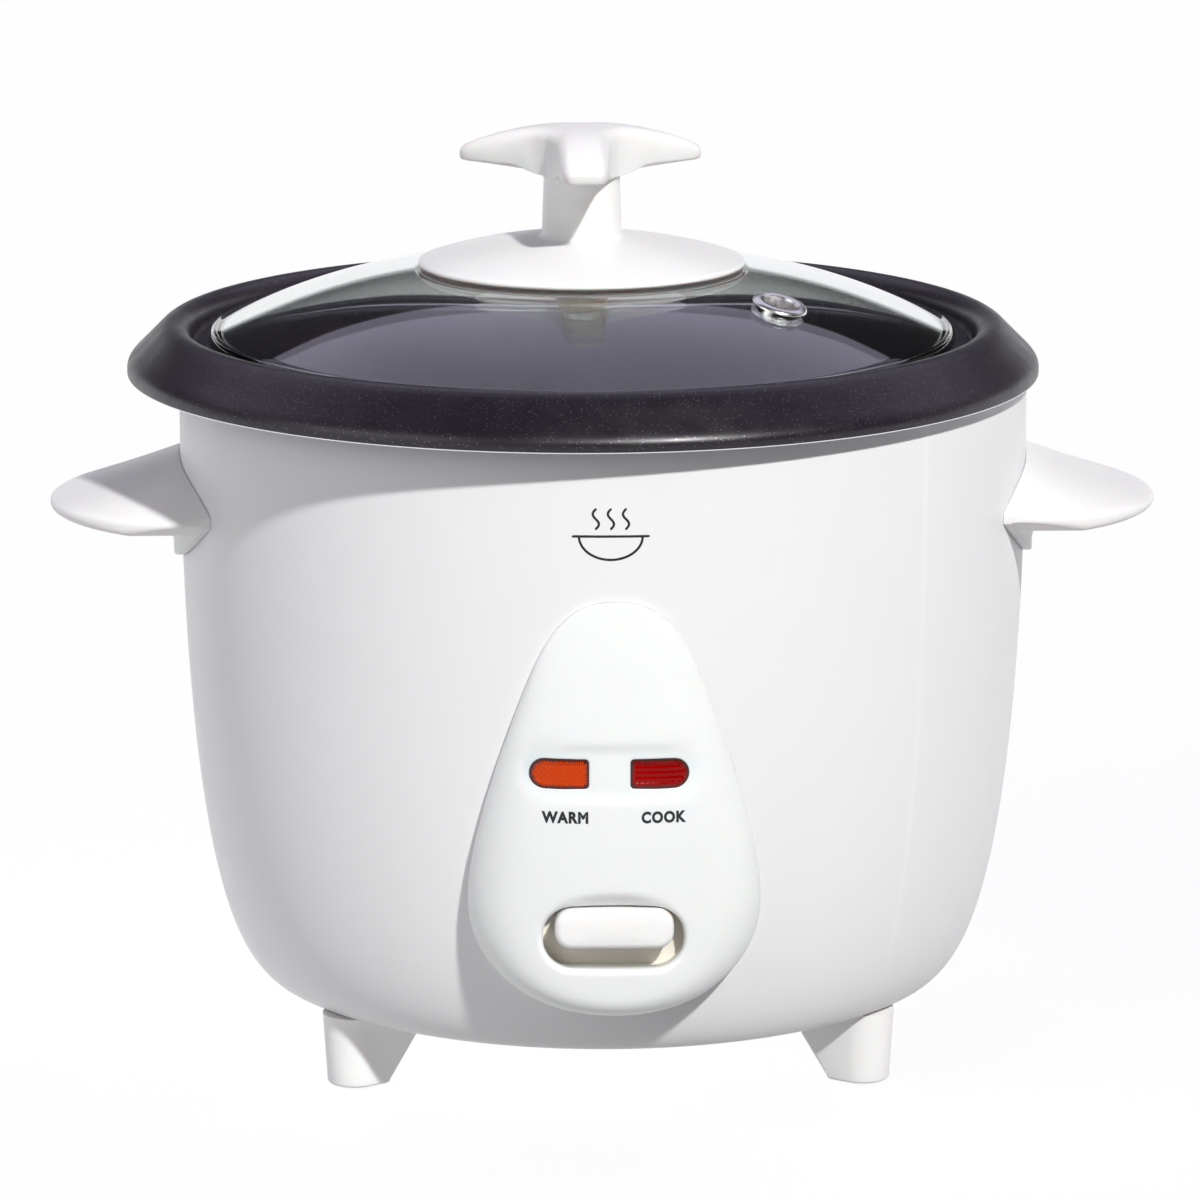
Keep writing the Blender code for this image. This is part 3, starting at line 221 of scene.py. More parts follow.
def turned(profile, centre=(0.0, 0.0), steps=160, closed=True):
    """A body turned about a vertical axis. An open profile starts and ends on the axis."""
    cx, cy = centre
    inner = profile if closed else profile[1:-1]
    turns = [math.tau * i / steps for i in range(steps)]
    loops = [[(cx + r * math.cos(t), cy + r * math.sin(t), z) for t in turns] for r, z in inner]
    if closed:
        return rings(loops, close=True)
    verts, faces = rings(loops)
    faces = faces[:-2]
    first = len(verts)
    verts += [(cx, cy, profile[0][1]), (cx, cy, profile[-1][1])]
    end = first - steps
    for i in range(steps):
        j = (i + 1) % steps
        faces += [(first, j, i), (first + 1, end + i, end + j)]
    return verts, faces


def placed(body, matrix):
    """A body moved by a matrix."""
    verts, faces = body
    return [tuple(matrix @ Vector(v)) for v in verts], faces


def bar(start, end, radius, steps=48):
    """A straight round bar between two points."""
    start = Vector(start)
    run = Vector(end) - start
    body = turned([(0, 0), (radius, 0), (radius, run.length), (0, run.length)], steps=steps,
                  closed=False)
    return placed(body,
                  Matrix.Translation(start) @ run.to_track_quat("Z", "Y").to_matrix().to_4x4())


def box(low, high):
    """A plain rectangular body."""
    outline = [(low[0], low[1]), (high[0], low[1]), (high[0], high[1]), (low[0], high[1])]
    return rings([[(x, y, z) for x, y in outline] for z in (low[2], high[2])])


def extruded(outline, depths):
    """An (x, z) outline drawn out along Y."""
    return rings([[(x, depth, z) for x, z in outline] for depth in depths])


def swept(points, radius):
    """A round wire along a route."""
    sides = 14
    points = [Vector(p) for p in points]
    loops = []
    normal = None
    for i, point in enumerate(points):
        ahead = (points[min(i + 1, len(points) - 1)] - points[max(i - 1, 0)]).normalized()
        normal = normal or ahead.orthogonal()
        normal = (normal - ahead * normal.dot(ahead)).normalized()
        across = ahead.cross(normal)
        turns = [math.tau * k / sides for k in range(sides)]
        loops.append([tuple(point + (normal * math.cos(t) + across * math.sin(t)) * radius)
                      for t in turns])
    return rings(loops)


def merged(*bodies):
    """Several separate bodies as one."""
    verts = []
    faces = []
    for body_verts, body_faces in bodies:
        start = len(verts)
        verts.extend(body_verts)
        faces.extend(tuple(start + i for i in face) for face in body_faces)
    return verts, faces


# ---- curves

def bezier(p0, p1, p2, p3, steps):
    """Points on a cubic curve, without its first point."""
    points = []
    for i in range(1, steps + 1):
        t = i / steps
        weights = ((1 - t) ** 3, 3 * t * (1 - t) ** 2, 3 * t * t * (1 - t), t ** 3)
        points.append(tuple(sum(w * p[k] for w, p in zip(weights, (p0, p1, p2, p3)))
                            for k in (0, 1)))
    return points


def arc(centre, radius, start, end, steps):
    """Points on an arc between two angles in degrees, ends included."""
    points = []
    for i in range(steps + 1):
        angle = math.radians(start + (end - start) * i / steps)
        points.append((centre[0] + radius * math.cos(angle), centre[1] + radius * math.sin(angle)))
    return points


def rounded(points, radii):
    """A closed outline with each corner rounded by its own radius."""
    result = []
    count = len(points)
    steps = 5
    for i, (point, radius) in enumerate(zip(points, radii)):
        point = Vector(point)
        before = Vector(points[i - 1]) - point
        after = Vector(points[(i + 1) % count]) - point
        if radius == 0:
            result.append(tuple(point))
            continue
        reach = min(radius, before.length * 0.48, after.length * 0.48)
        a = point + before.normalized() * reach
        b = point + after.normalized() * reach
        for k in range(steps + 1):
            t = k / steps
            result.append(tuple(a * (1 - t) ** 2 + point * 2 * t * (1 - t) + b * t * t))
    return result


def round_ended(centre, half_w, half_h, radius_left, radius_right, steps=12):
    """A rectangle's outline with its own corner radius on each side."""
    cx, cz = centre
    corners = (
        (1, 1, radius_right, 0.0),
        (-1, 1, radius_left, 90.0),
        (-1, -1, radius_left, 180.0),
        (1, -1, radius_right, 270.0),
    )
    points = []
    for sx, sz, radius, start in corners:
        middle = (cx + sx * (half_w - radius), cz + sz * (half_h - radius))
        points += arc(middle, radius, start, start + 90, steps if radius else 0)
    return points


def resampled(loop, step):
    """A closed outline with its long straight runs split up."""
    points = []
    for a, b in zip(loop, loop[1:] + loop[:1]):
        parts = max(1, round(math.dist(a, b) / step))
        points += [(a[0] + (b[0] - a[0]) * k / parts, a[1] + (b[1] - a[1]) * k / parts)
                   for k in range(parts)]
    return points


def helix(radius, low, high, turns):
    """The centre line of a coil spring that stands on the axis, with closed end turns."""
    count = round((turns + 1) * 36)
    points = []
    for i in range(count + 1):
        t = i / count * (turns + 1) - 0.5
        share = min(1.0, max(0.0, t / turns))
        angle = math.tau * t
        points.append((radius * math.cos(angle), radius * math.sin(angle),
                       low + (high - low) * share))
    return points


def smooth_route(points, per_span=10):
    """A smooth curve through a few points."""
    route = [Vector(points[0])]
    last = len(points) - 1
    for k in range(last):
        before, a, b, after = (Vector(points[min(max(k + i, 0), last)]) for i in (-1, 0, 1, 2))
        for i in range(1, per_span + 1):
            t = i / per_span
            blend = 2 * a + (b - before) * t
            blend += (2 * before - 5 * a + 4 * b - after) * t ** 2
            blend += (3 * a - before - 3 * b + after) * t ** 3
            route.append(blend / 2)
    return route


def smoothstep(low, high, value):
    """0 below low, 1 above high, and a smooth rise between them."""
    t = min(1.0, max(0.0, (value - low) / (high - low)))
    return t * t * (3 - 2 * t)


# ---- pieces

def shade(mesh, sharp):
    """Smooth shading with sharp edges above an angle."""
    mesh.shade_smooth()
    mesh.set_sharp_from_angle(angle=math.radians(sharp))


def in_scene(name, data):
    """A new object in the scene."""
    obj = bpy.data.objects.new(name, data)
    bpy.context.scene.collection.objects.link(obj)
    return obj


def mesh_object(name, body, materials=(), sharp=35.0):
    """A mesh object from a body in millimetres."""
    verts, faces = body
    mesh = bpy.data.meshes.new(name)
    mesh.from_pydata([Vector(v) * MM for v in verts], [], faces)
    bm = bmesh.new()
    bm.from_mesh(mesh)
    bmesh.ops.recalc_face_normals(bm, faces=bm.faces)
    bm.to_mesh(mesh)
    bm.free()
    shade(mesh, sharp)
    for mat in materials:
        mesh.materials.append(mat)
    return in_scene(name, mesh)


def settle(obj):
    """Turn an object's modifiers into its mesh."""
    graph = bpy.context.evaluated_depsgraph_get()
    old = obj.data
    obj.data = bpy.data.meshes.new_from_object(obj.evaluated_get(graph))
    obj.modifiers.clear()
    bpy.data.meshes.remove(old)


def carve(obj, *bodies, operation="DIFFERENCE", sharp=35.0):
    """Cut bodies out of an object, or join them to it, one after the other."""
    for body in bodies:
        cutter = mesh_object("cutter", body)
        boolean = obj.modifiers.new("carve", "BOOLEAN")
        boolean.operation = operation
        boolean.object = cutter
        settle(obj)
        bpy.data.objects.remove(cutter)
    shade(obj.data, sharp)


def soften(obj, width):
    """Round an object's sharp edges."""
    bevel = obj.modifiers.new("soften", "BEVEL")
    bevel.width = width * MM
    bevel.segments = 2
    bevel.limit_method = "ANGLE"
    bevel.angle_limit = math.radians(40.0)
    bevel.use_clamp_overlap = True
    bevel.harden_normals = True


def thicken(obj, thickness):
    """Give a sheet its thickness, drawn back from its front."""
    wall = obj.modifiers.new("wall", "SOLIDIFY")
    wall.thickness = thickness * MM
    wall.offset = -1.0


def ready(obj, body, slot, *nodes):
    """Put a finished piece on its body, in place of CAD nodes."""
    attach(obj, body)
    if nodes:
        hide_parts(*nodes)
    return obj


def piece(mats, name, body, rides, finish_name, node, sharp=35.0):
    """A finished piece from a body in millimetres, in place of a CAD node."""
    obj = mesh_object(name, body, [mats[finish_name]], sharp)
    return ready(obj, rides, finish_name, node)


# ---- materials

def link(tree, source, target):
    """Join two sockets."""
    tree.links.new(source, target)


def add(tree, kind, inputs=None, **settings):
    """A new shader node. An input is linked where a socket is given for it, and set otherwise."""
    node = tree.nodes.new("ShaderNode" + kind)
    for name, value in settings.items():
        setattr(node, name, value)
    for socket, value in (inputs or {}).items():
        if isinstance(value, bpy.types.NodeSocket):
            link(tree, value, node.inputs[socket])
        else:
            node.inputs[socket].default_value = value
    return node


def combined(tree, operation, *values):
    """Patterns added or multiplied together."""
    result = values[0]
    for value in values[1:]:
        result = add(tree, "Math", {0: result, 1: value}, operation=operation).outputs["Value"]
    return result


def object_place(tree):
    """Coordinates fixed to the object, in metres."""
    return add(tree, "TexCoord").outputs["Object"]


def noise(tree, scale, detail=2.0, stretch=(1, 1, 1)):
    """A noise pattern fixed to the object, with about as many features to a metre as its scale."""
    place = add(tree, "Mapping", {"Vector": object_place(tree), "Scale": stretch})
    inputs = {"Vector": place.outputs["Vector"], "Scale": scale, "Detail": detail}
    return add(tree, "TexNoise", inputs).outputs["Fac"]


def spread(tree, value, low, high, start=0.3, end=0.7):
    """A pattern stretched to run between two numbers."""
    inputs = {"Value": value, "From Min": start, "From Max": end, "To Min": low, "To Max": high}
    return add(tree, "MapRange", inputs).outputs["Result"]


def two_tone(tree, value, colour_a, colour_b):
    """A colour that goes from one to another along a pattern."""
    ramp = add(tree, "ValToRGB", {"Fac": value})
    stops = ramp.color_ramp.elements
    stops[0].position, stops[1].position = 0.3, 0.7
    stops[0].color, stops[1].color = (*colour_a, 1.0), (*colour_b, 1.0)
    return ramp.outputs["Color"]


def relief(tree, shader, height, distance):
    """Bump from a pattern, to a depth in millimetres."""
    bump = add(tree, "Bump", {"Height": height, "Distance": distance * MM, "Strength": 1.0})
    link(tree, bump.outputs["Normal"], shader.inputs["Normal"])


def finish(name, colour, roughness, metallic=0.0, tone=0.04, grain=900.0, depth=0.01,
           stretch=(1, 1, 1), **more):
    """A procedural finish: mottled colour and roughness over a fine grain."""
    mat = bpy.data.materials.new(name)
    mat.use_nodes = True
    tree = mat.node_tree
    shader = tree.nodes["Principled BSDF"]
    shader.inputs["Metallic"].default_value = metallic
    for socket, value in more.items():
        shader.inputs[socket.replace("_", " ")].default_value = value
    lighter = tuple(min(1.0, c * (1 + tone)) for c in colour)
    darker = tuple(c * (1 - tone) for c in colour)
    link(tree, two_tone(tree, noise(tree, 60.0, 3.0), darker, lighter), shader.inputs["Base Color"])
    uneven = spread(tree, noise(tree, 140.0, 4.0, stretch), roughness * 0.88, roughness * 1.12)
    link(tree, uneven, shader.inputs["Roughness"])
    relief(tree, shader, noise(tree, grain, 2.0, stretch), depth)
    return mat


def turn_grooves(mat, pitch, depth):
    """Replace a finish's grain by even rings round the object's upright axis."""
    tree = mat.node_tree
    inputs = {"Vector": object_place(tree), "Scale": math.pi / 10 / (pitch * MM), "Distortion": 0.3}
    wave = add(tree, "TexWave", inputs, wave_type="RINGS", rings_direction="Z")
    relief(tree, tree.nodes["Principled BSDF"], wave.outputs["Fac"], depth)


def add_flecks(mat, scale, amount, colour):
    """Small bright metallic flecks over a finish."""
    tree = mat.node_tree
    shader = tree.nodes["Principled BSDF"]
    cells = add(tree, "TexVoronoi", {"Vector": object_place(tree), "Scale": scale})
    seen = spread(tree, cells.outputs["Distance"], 1.0, 0.0, amount * 0.6, amount)
    chosen = add(tree, "SeparateColor", {"Color": cells.outputs["Color"]}).outputs["Red"]
    both = combined(tree, "MULTIPLY", seen, spread(tree, chosen, 0.0, 1.0, 0.62, 0.70))
    ground = shader.inputs["Base Color"].links[0].from_socket
    mix = add(tree, "Mix", {"Factor": both, 6: ground, 7: (*colour, 1.0)}, data_type="RGBA")
    link(tree, mix.outputs[2], shader.inputs["Base Color"])
    link(tree, both, shader.inputs["Metallic"])


def let_light_through(mat, tint):
    """Let a clear finish pass straight light, so that what is behind it is lit."""
    tree = mat.node_tree
    shadow = add(tree, "LightPath").outputs["Is Shadow Ray"]
    clear = add(tree, "BsdfTransparent", {"Color": (*tint, 1.0)}).outputs["BSDF"]
    solid = tree.nodes["Principled BSDF"].outputs["BSDF"]
    mix = add(tree, "MixShader", {"Fac": shadow, 1: solid, 2: clear})
    link(tree, mix.outputs["Shader"], tree.nodes["Material Output"].inputs["Surface"])


def make_materials():
    """Every finish on the object, by name."""
    mats = {name: finish(name, colour, roughness, **more)
            for name, (colour, roughness, more) in FINISHES.items()}
    add_flecks(mats["pot_coating"], 1700.0, 0.26, (0.20, 0.19, 0.21))
    turn_grooves(mats["cast_aluminium"], 0.9, 0.012)
    let_light_through(mats["lid_glass"], (0.93, 0.96, 0.95))
    let_light_through(mats["lamp_glass"], (0.90, 0.86, 0.80))
    return mats


# ---- housing

def taper(steps):
    """The housing's side from the end of its straight wall to its bottom edge."""
    return bezier((SHELL_R, STRAIGHT_END), *TAPER_CONTROLS, steps)


TAPER_FINE = [(SHELL_R, STRAIGHT_END)] + taper(160)


def housing_r(z):
    """The housing's outer radius at a height."""
    if z >= STRAIGHT_END:
        return SHELL_R
    for (r0, z0), (r1, z1) in zip(TAPER_FINE, TAPER_FINE[1:]):
        if z >= z1:
            return r1 + (r0 - r1) * (z - z1) / (z0 - z1)
    return TAPER_FINE[-1][0]


def peg_holes(low, high):
    """A round bar wherever a foot's peg goes through."""
    px, py = PEG_PLACE
    return merged(*[bar((sx * px, sy * py, low), (sx * px, sy * py, high), 2.9)
                    for sx in (-1, 1) for sy in (-1, 1)])


def make_shell(mats):
    """The painted shell, rolled in at both ends, with its holes."""
    outside = [(97.0, SHELL_TOP)] + arc((SHELL_R - 1.5, SHELL_TOP - 1.5), 1.5, 90, 0, 8)
    outside += [(SHELL_R, 160.0), (SHELL_R, 152.0), (SHELL_R, STRAIGHT_END)] + taper(60)[:-1]
    outside += [(83.75, 18.35), (83.2, 18.12), (82.4, 18.05), (70.0, 18.05)]
    inside = [(70.0, 19.25), (82.9, 19.25), (84.2, 19.8)]
    inside += [(r - SHELL_WALL, z) for r, z in reversed(taper(60)[:-2])]
    inside += [(SHELL_R - SHELL_WALL, STRAIGHT_END), (SHELL_R - SHELL_WALL, SHELL_TOP - 1.5)]
    inside += [(SHELL_R - 1.5, SHELL_TOP - SHELL_WALL), (97.0, SHELL_TOP - SHELL_WALL)]
    shell = mesh_object("shell", turned(outside + inside, steps=256), [mats["white_paint"]])
    screws = [bar((sx * 94, y, 135.0), (sx * 106, y, 135.0), 1.9) for sx in (-1, 1)
              for y in (-20, 20)]
    front = [extruded(round_ended((-0.6, 52.0), 17.1, 8.4, 3, 3), (-110, -80))]
    front.append(extruded(round_ended((-1.5, LENS_Z), 20.5, 6.5, 2, 2), (-110, -80)))
    inlet = extruded(round_ended((0, 40.0), 16.5, 12.5, 1.5, 1.5), (82, 110))
    carve(shell, merged(*front, inlet), merged(*screws), peg_holes(16, 19.6))
    ready(shell, "housing", "white_paint", "outer_shell")


def make_liner(mats):
    """The heat shield round the pot."""
    inner = LINER_R - 0.8
    profile = [(inner, 166.2), (inner + 0.5, 167.0), (inner + 1.2, 167.2), (100.5, 167.2),
               (100.5, 166.4)]
    profile += [(LINER_R + 0.2, 166.4), (LINER_R, 166.2), (LINER_R, 61.5), (LINER_R - 0.8, 59.8)]
    profile += [(LINER_R - 2.5, 59.0), (76.0, 59.0), (76.0, 59.8), (inner - 2.5, 59.8),
                (inner - 0.6, 60.6)]
    profile += [(inner, 62.0)]
    piece(mats, "liner", turned(profile), "housing", "galvanised", "inner_liner")


def make_base(mats):
    """The bottom cover: pressed rings and rays of vent slots."""
    low, high = PLATE_Z
    section = [(0, low), (20, low), (21.5, low + 0.35), (24.5, low + 0.35), (26, low), (56, low)]
    section += [(57.5, low + 0.35), (80.5, low + 0.35), (82, low)]
    profile = [(0, high)] + [(r, high) for r in (30, 56, 81.6)] + [(82, high - 0.4)] + section[::-1]
    plate = mesh_object("base_cover", turned(profile, closed=False), [mats["galvanised"]])
    vents = []
    for i in range(12):
        turn = Matrix.Rotation(math.tau * (i + 0.5) / 12, 4, "Z")
        outline = round_ended((40, 0), 10, 2, 2, 2, 8)
        slot = rings([[(x, y, z) for x, y in outline] for z in (low - 2, high + 2)])
        vents.append(placed(slot, turn))
    carve(plate, merged(*vents), peg_holes(17, 24), bar((0, -64, 16), (0, -64, 24), 2.0))
    ready(plate, "housing", "galvanised", "base_plate")


def foot_ring(side, radius, back, z):
    """One level of a foot: a half-round nose facing outward, two flanks and a flat inner end."""
    corner = 1.2
    ahead = Vector((math.cos(FOOT_TURN), math.sin(FOOT_TURN)))
    across = Vector((-ahead.y, ahead.x))
    local = arc((0, 0), radius, -90, 90, 28)
    local += arc((corner - back, radius - corner), corner, 90, 180, 5)
    local += arc((corner - back, corner - radius), corner, 180, 270, 5)
    points = [Vector(FOOT_NOSE) + ahead * u + across * v for u, v in local]
    return [(side[0] * point.x, side[1] * point.y, z) for point in points]


def make_feet(mats):
    """Four tapered feet with rounded lower edges, each with a seat for its rubber pad and a peg."""
    for name, (sx, sy) in FOOT_SIDES.items():
        levels = [(0.8 - 0.8 * math.sin(a), 0.4 + 0.8 - 0.8 * math.cos(a))
                  for a in (0, 0.4, 0.8, 1.2, math.pi / 2)]
        loops = []
        for inset, z in levels:
            loops.append(foot_ring((sx, sy), 6.6 - inset, 6.3 - inset, z))
        for share in (0.33, 0.66, 1.0):
            z = 1.2 + (17.7 - 1.2) * share
            loops.append(foot_ring((sx, sy), 6.6 + 1.0 * share, 6.3 + 11.5 * share, z))
        foot = mesh_object(f"foot_{name}_body", rings(loops), [mats["white_plastic"]])
        middle = (sx * FOOT_NOSE[0], sy * FOOT_NOSE[1])
        carve(foot, bar((*middle, -2.0), (*middle, 1.7), 4.8))
        peg = (sx * PEG_PLACE[0], sy * PEG_PLACE[1])
        carve(foot, bar((*peg, 15.0), (*peg, 24.0), 2.5), operation="UNION")
        ready(foot, "housing", "white_plastic", f"foot_{name}")


def handle_section(y):
    """The right handle's cross-section at a distance along it, as (x, z) points."""
    root_x = math.sqrt((SHELL_R + 0.05) ** 2 - y * y)
    spread_y = math.sqrt(max(0.0, 1 - (y / HANDLE_HALF_Y) ** 2))
    tip_x = 96.0 + 38.0 * spread_y
    root_top = 133.5 + 11.7 * math.sqrt(1 - (y / 43.2) ** 2)
    flange_bottom = 134.5 - 14.0 * (1 - (y / 42.0) ** 2)
    reach = tip_x - root_x
    flange_x = root_x + min(1.8, reach * 0.6)
    under_x = max(flange_x + 0.2, root_x + min(6.0, reach * 0.7))
    roof_z = min(135.2, root_top - 0.4)
    under_z = max(131.3, flange_bottom + 0.4)
    mid = (roof_z + under_z) / 2
    ridge = root_top + (roof_z - root_top) * 0.52
    edge = min(2.2, reach * 0.12)
    points = [
        (root_x, root_top),
        (root_x + reach * 0.45, ridge),
        (tip_x - reach * 0.07, roof_z),
        (tip_x, mid + (roof_z - mid) * 0.5),
        (tip_x, mid - (mid - under_z) * 0.5),
        (tip_x - reach * 0.07, under_z),
        (under_x, under_z),
        (flange_x, under_z - (under_z - flange_bottom) * 0.5),
        (flange_x, flange_bottom),
        (root_x, flange_bottom),
    ]
    radii = (min(0.8, reach * 0.05), reach * 0.3, edge, edge, edge, edge, reach * 0.2, 3.0,
             min(0.7, reach * 0.1), 0)
    return rounded(points, radii)


def make_handles(mats):
    """The two ledge-shaped side handles."""
    for name, side in (("left", -1), ("right", 1)):
        stations = 96
        loops = []
        for i in range(stations + 1):
            y = HANDLE_HALF_Y * math.sin(math.pi * (i / stations - 0.5)) * 0.999
            loops.append([(side * x, y, z) for x, z in handle_section(y)])
        piece(mats, f"handle_{name}", rings(loops), "housing", "white_plastic",
              f"side_handle_{name}", 50.0)


# ---- front panel

def panel_outline():
    """The panel's egg-shaped edge, as (x, z), starting at the top."""
    shoulder = (18.8, 113.5)
    widest = (33.8, 57.5)
    right = [(0.0, 129.6)]
    right += bezier(right[0], (10.0, 129.6), (15.2, 122.5), shoulder, 24)
    right += bezier(shoulder, (25.0, 98.0), (33.6, 73.0), widest, 36)
    right += bezier(widest, (33.8, 41.0), (20.0, 30.3), (0.0, 30.3), 36)
    return right + [(-x, z) for x, z in reversed(right[1:-1])]


def inset_outline(outline, distance):
    """The outline moved inward by a distance, along its own normals."""
    count = len(outline)
    points = []
    for i, (x, z) in enumerate(outline):
        bx, bz = outline[i - 1]
        ax, az = outline[(i + 1) % count]
        length = math.hypot(ax - bx, az - bz)
        points.append((x + (az - bz) / length * distance, z - (ax - bx) / length * distance))
    return points


def front_of_housing(x, z):
    """The housing's Y at the front, a hair in front of its surface."""
    return -math.sqrt((housing_r(z) + 0.1) ** 2 - x * x)


def outside_box(x, z, centre, half, radius):
    """Distance outside a rectangle with rounded corners; it is negative inside."""
    dx = abs(x - centre[0]) - half[0] + radius
    dz = abs(z - centre[1]) - half[1] + radius
    return math.hypot(max(dx, 0.0), max(dz, 0.0)) + min(max(dx, dz), 0.0) - radius


def outside_slot(x, z):
    """Distance outside the lever's slot."""
    cx, cz, half_w, half_h, radius = SLOT
    return outside_box(x, z, (cx, cz), (half_w, half_h), radius)


def lens_outline(side, x, grow):
    """A lens that is round at its outer end and square at its inner one."""
    half_h = LENS_HALF[1] + grow
    outer = half_h - 0.01
    inner = 0.6 + grow
    left, right = (outer, inner) if side < 0 else (inner, outer)
    return round_ended((x, LENS_Z), LENS_HALF[0] + grow, half_h, left, right, 10)


def outside_loop(x, z, loop):
    """Distance to a closed outline, negative inside it."""
    nearest = 1e9
    inside = False
    for (ax, az), (bx, bz) in zip(loop, loop[1:] + loop[:1]):
        t = ((x - ax) * (bx - ax) + (z - az) * (bz - az)) / max(1e-12,
                                                                (bx - ax) ** 2 + (bz - az) ** 2)
        t = min(1.0, max(0.0, t))
        nearest = min(nearest, math.hypot(x - ax - t * (bx - ax), z - az - t * (bz - az)))
        if (az > z) != (bz > z) and x < ax + (z - az) / (bz - az) * (bx - ax):
            inside = not inside
    return -nearest if inside else nearest


WINDOWS = [lens_outline(side, x, 0.3) for side, x in zip((-1, 1), LENS_CENTRES_X)]


def outside_windows(x, z):
    """Distance outside the nearer lamp window."""
    if abs(z - LENS_Z) > 9.0:
        return 9.0
    return min(outside_loop(x, z, loop) for loop in WINDOWS)


def rim_fall(distance, radius):
    """How far a surface falls away as it rolls over an edge."""
    t = 1.0 - min(1.0, max(0.0, distance / radius))
    return radius * (1.0 - math.sqrt(1.0 - t * t))


def panel_base(x, z):
    """The panel's crown before its edges, recess and scoop."""
    across, up = PANEL_BULGE
    return -(PANEL_FRONT - x * x / across - (z - PANEL_CREST_Z) ** 2 / up)


def panel_y(x, z, inset):
    """The panel's front Y at a place that is set in from its outline by some distance."""
    reach = PANEL_ROUND - PANEL_ROUND_DROP * (1.0 - smoothstep(32.0, 56.0, z))
    rise = math.sqrt(1.0 - (1.0 - min(inset / reach, 1.0)) ** 2)
    skin = front_of_housing(x, z)
    edge = skin - PANEL_EDGE
    y = edge + (panel_base(x, z) - edge) * rise
    band = outside_box(x, z, LAMP_BAND, LAMP_BAND_HALF, 6.3)
    y += LAMP_BAND_DEPTH * (1.0 - smoothstep(-2.2, 1.2, band))
    scoop_x, scoop_z, half_w, half_h = SCOOP
    scoop = math.hypot((x - scoop_x) / half_w, (z - scoop_z) / half_h)
    y += SCOOP_DEPTH * (1.0 - smoothstep(0.15, 1.0, scoop))
    y += rim_fall(outside_slot(x, z), 1.5)
    y += rim_fall(outside_windows(x, z), 0.3)
    return min(y, skin - 0.3)


def filled(name, flat, edges, keep, height):
    """Flat (x, z) points joined into triangles that face the front, kept where asked."""
    points, _, triangles, *_ = delaunay_2d_cdt([Vector(p) for p in flat], edges, [], 0, 1e-5)
    kept = []
    for triangle in triangles:
        x, z = sum((points[i] for i in triangle), Vector((0, 0))) / len(triangle)
        if keep(x, z):
            kept.append(tuple(triangle))
    mesh = bpy.data.meshes.new(name)
    mesh.from_pydata([(p.x * MM, height(p.x, p.y) * MM, p.y * MM) for p in points], [], kept)
    bm = bmesh.new()
    bm.from_mesh(mesh)
    bmesh.ops.delete(bm, geom=[v for v in bm.verts if not v.link_faces], context="VERTS")
    for face in bm.faces:
        face.normal_update()
        if face.normal.y > 0:
            face.normal_flip()
    return mesh, bm


def sheet(name, loops, points, height, keep, skirt, material):
    """A surface over (x, z) points, bounded by loops, with a skirt drawn back from every edge."""
    flat = []
    edges = []
    for loop in loops:
        start = len(flat)
        flat += loop
        edges += [(start + i, start + (i + 1) % len(loop)) for i in range(len(loop))]
    mesh, bm = filled(name, flat + points, edges, keep, height)
    border = [edge for edge in bm.edges if edge.is_boundary]
    for vert in bmesh.ops.extrude_edge_only(bm, edges=border)["geom"]:
        if isinstance(vert, bmesh.types.BMVert):
            vert.co.y = skirt(vert.co.x / MM, vert.co.z / MM) * MM
    bmesh.ops.recalc_face_normals(bm, faces=bm.faces)
    bm.to_mesh(mesh)
    bm.free()
    shade(mesh, 55.0)
    mesh.materials.append(material)
    return in_scene(name, mesh)


def grid(low, high, step, allowed):
    """Staggered points over a rectangle, where they are allowed."""
    points = []
    rows = round((high[1] - low[1]) / (step * 0.87))
    columns = round((high[0] - low[0]) / step)
    for k in range(rows + 1):
        z = low[1] + (high[1] - low[1]) * k / rows
        for i in range(columns + 1):
            x = low[0] + (i + 0.5 * (k % 2)) * step
            if allowed(x, z):
                points.append((x, z))
    return points


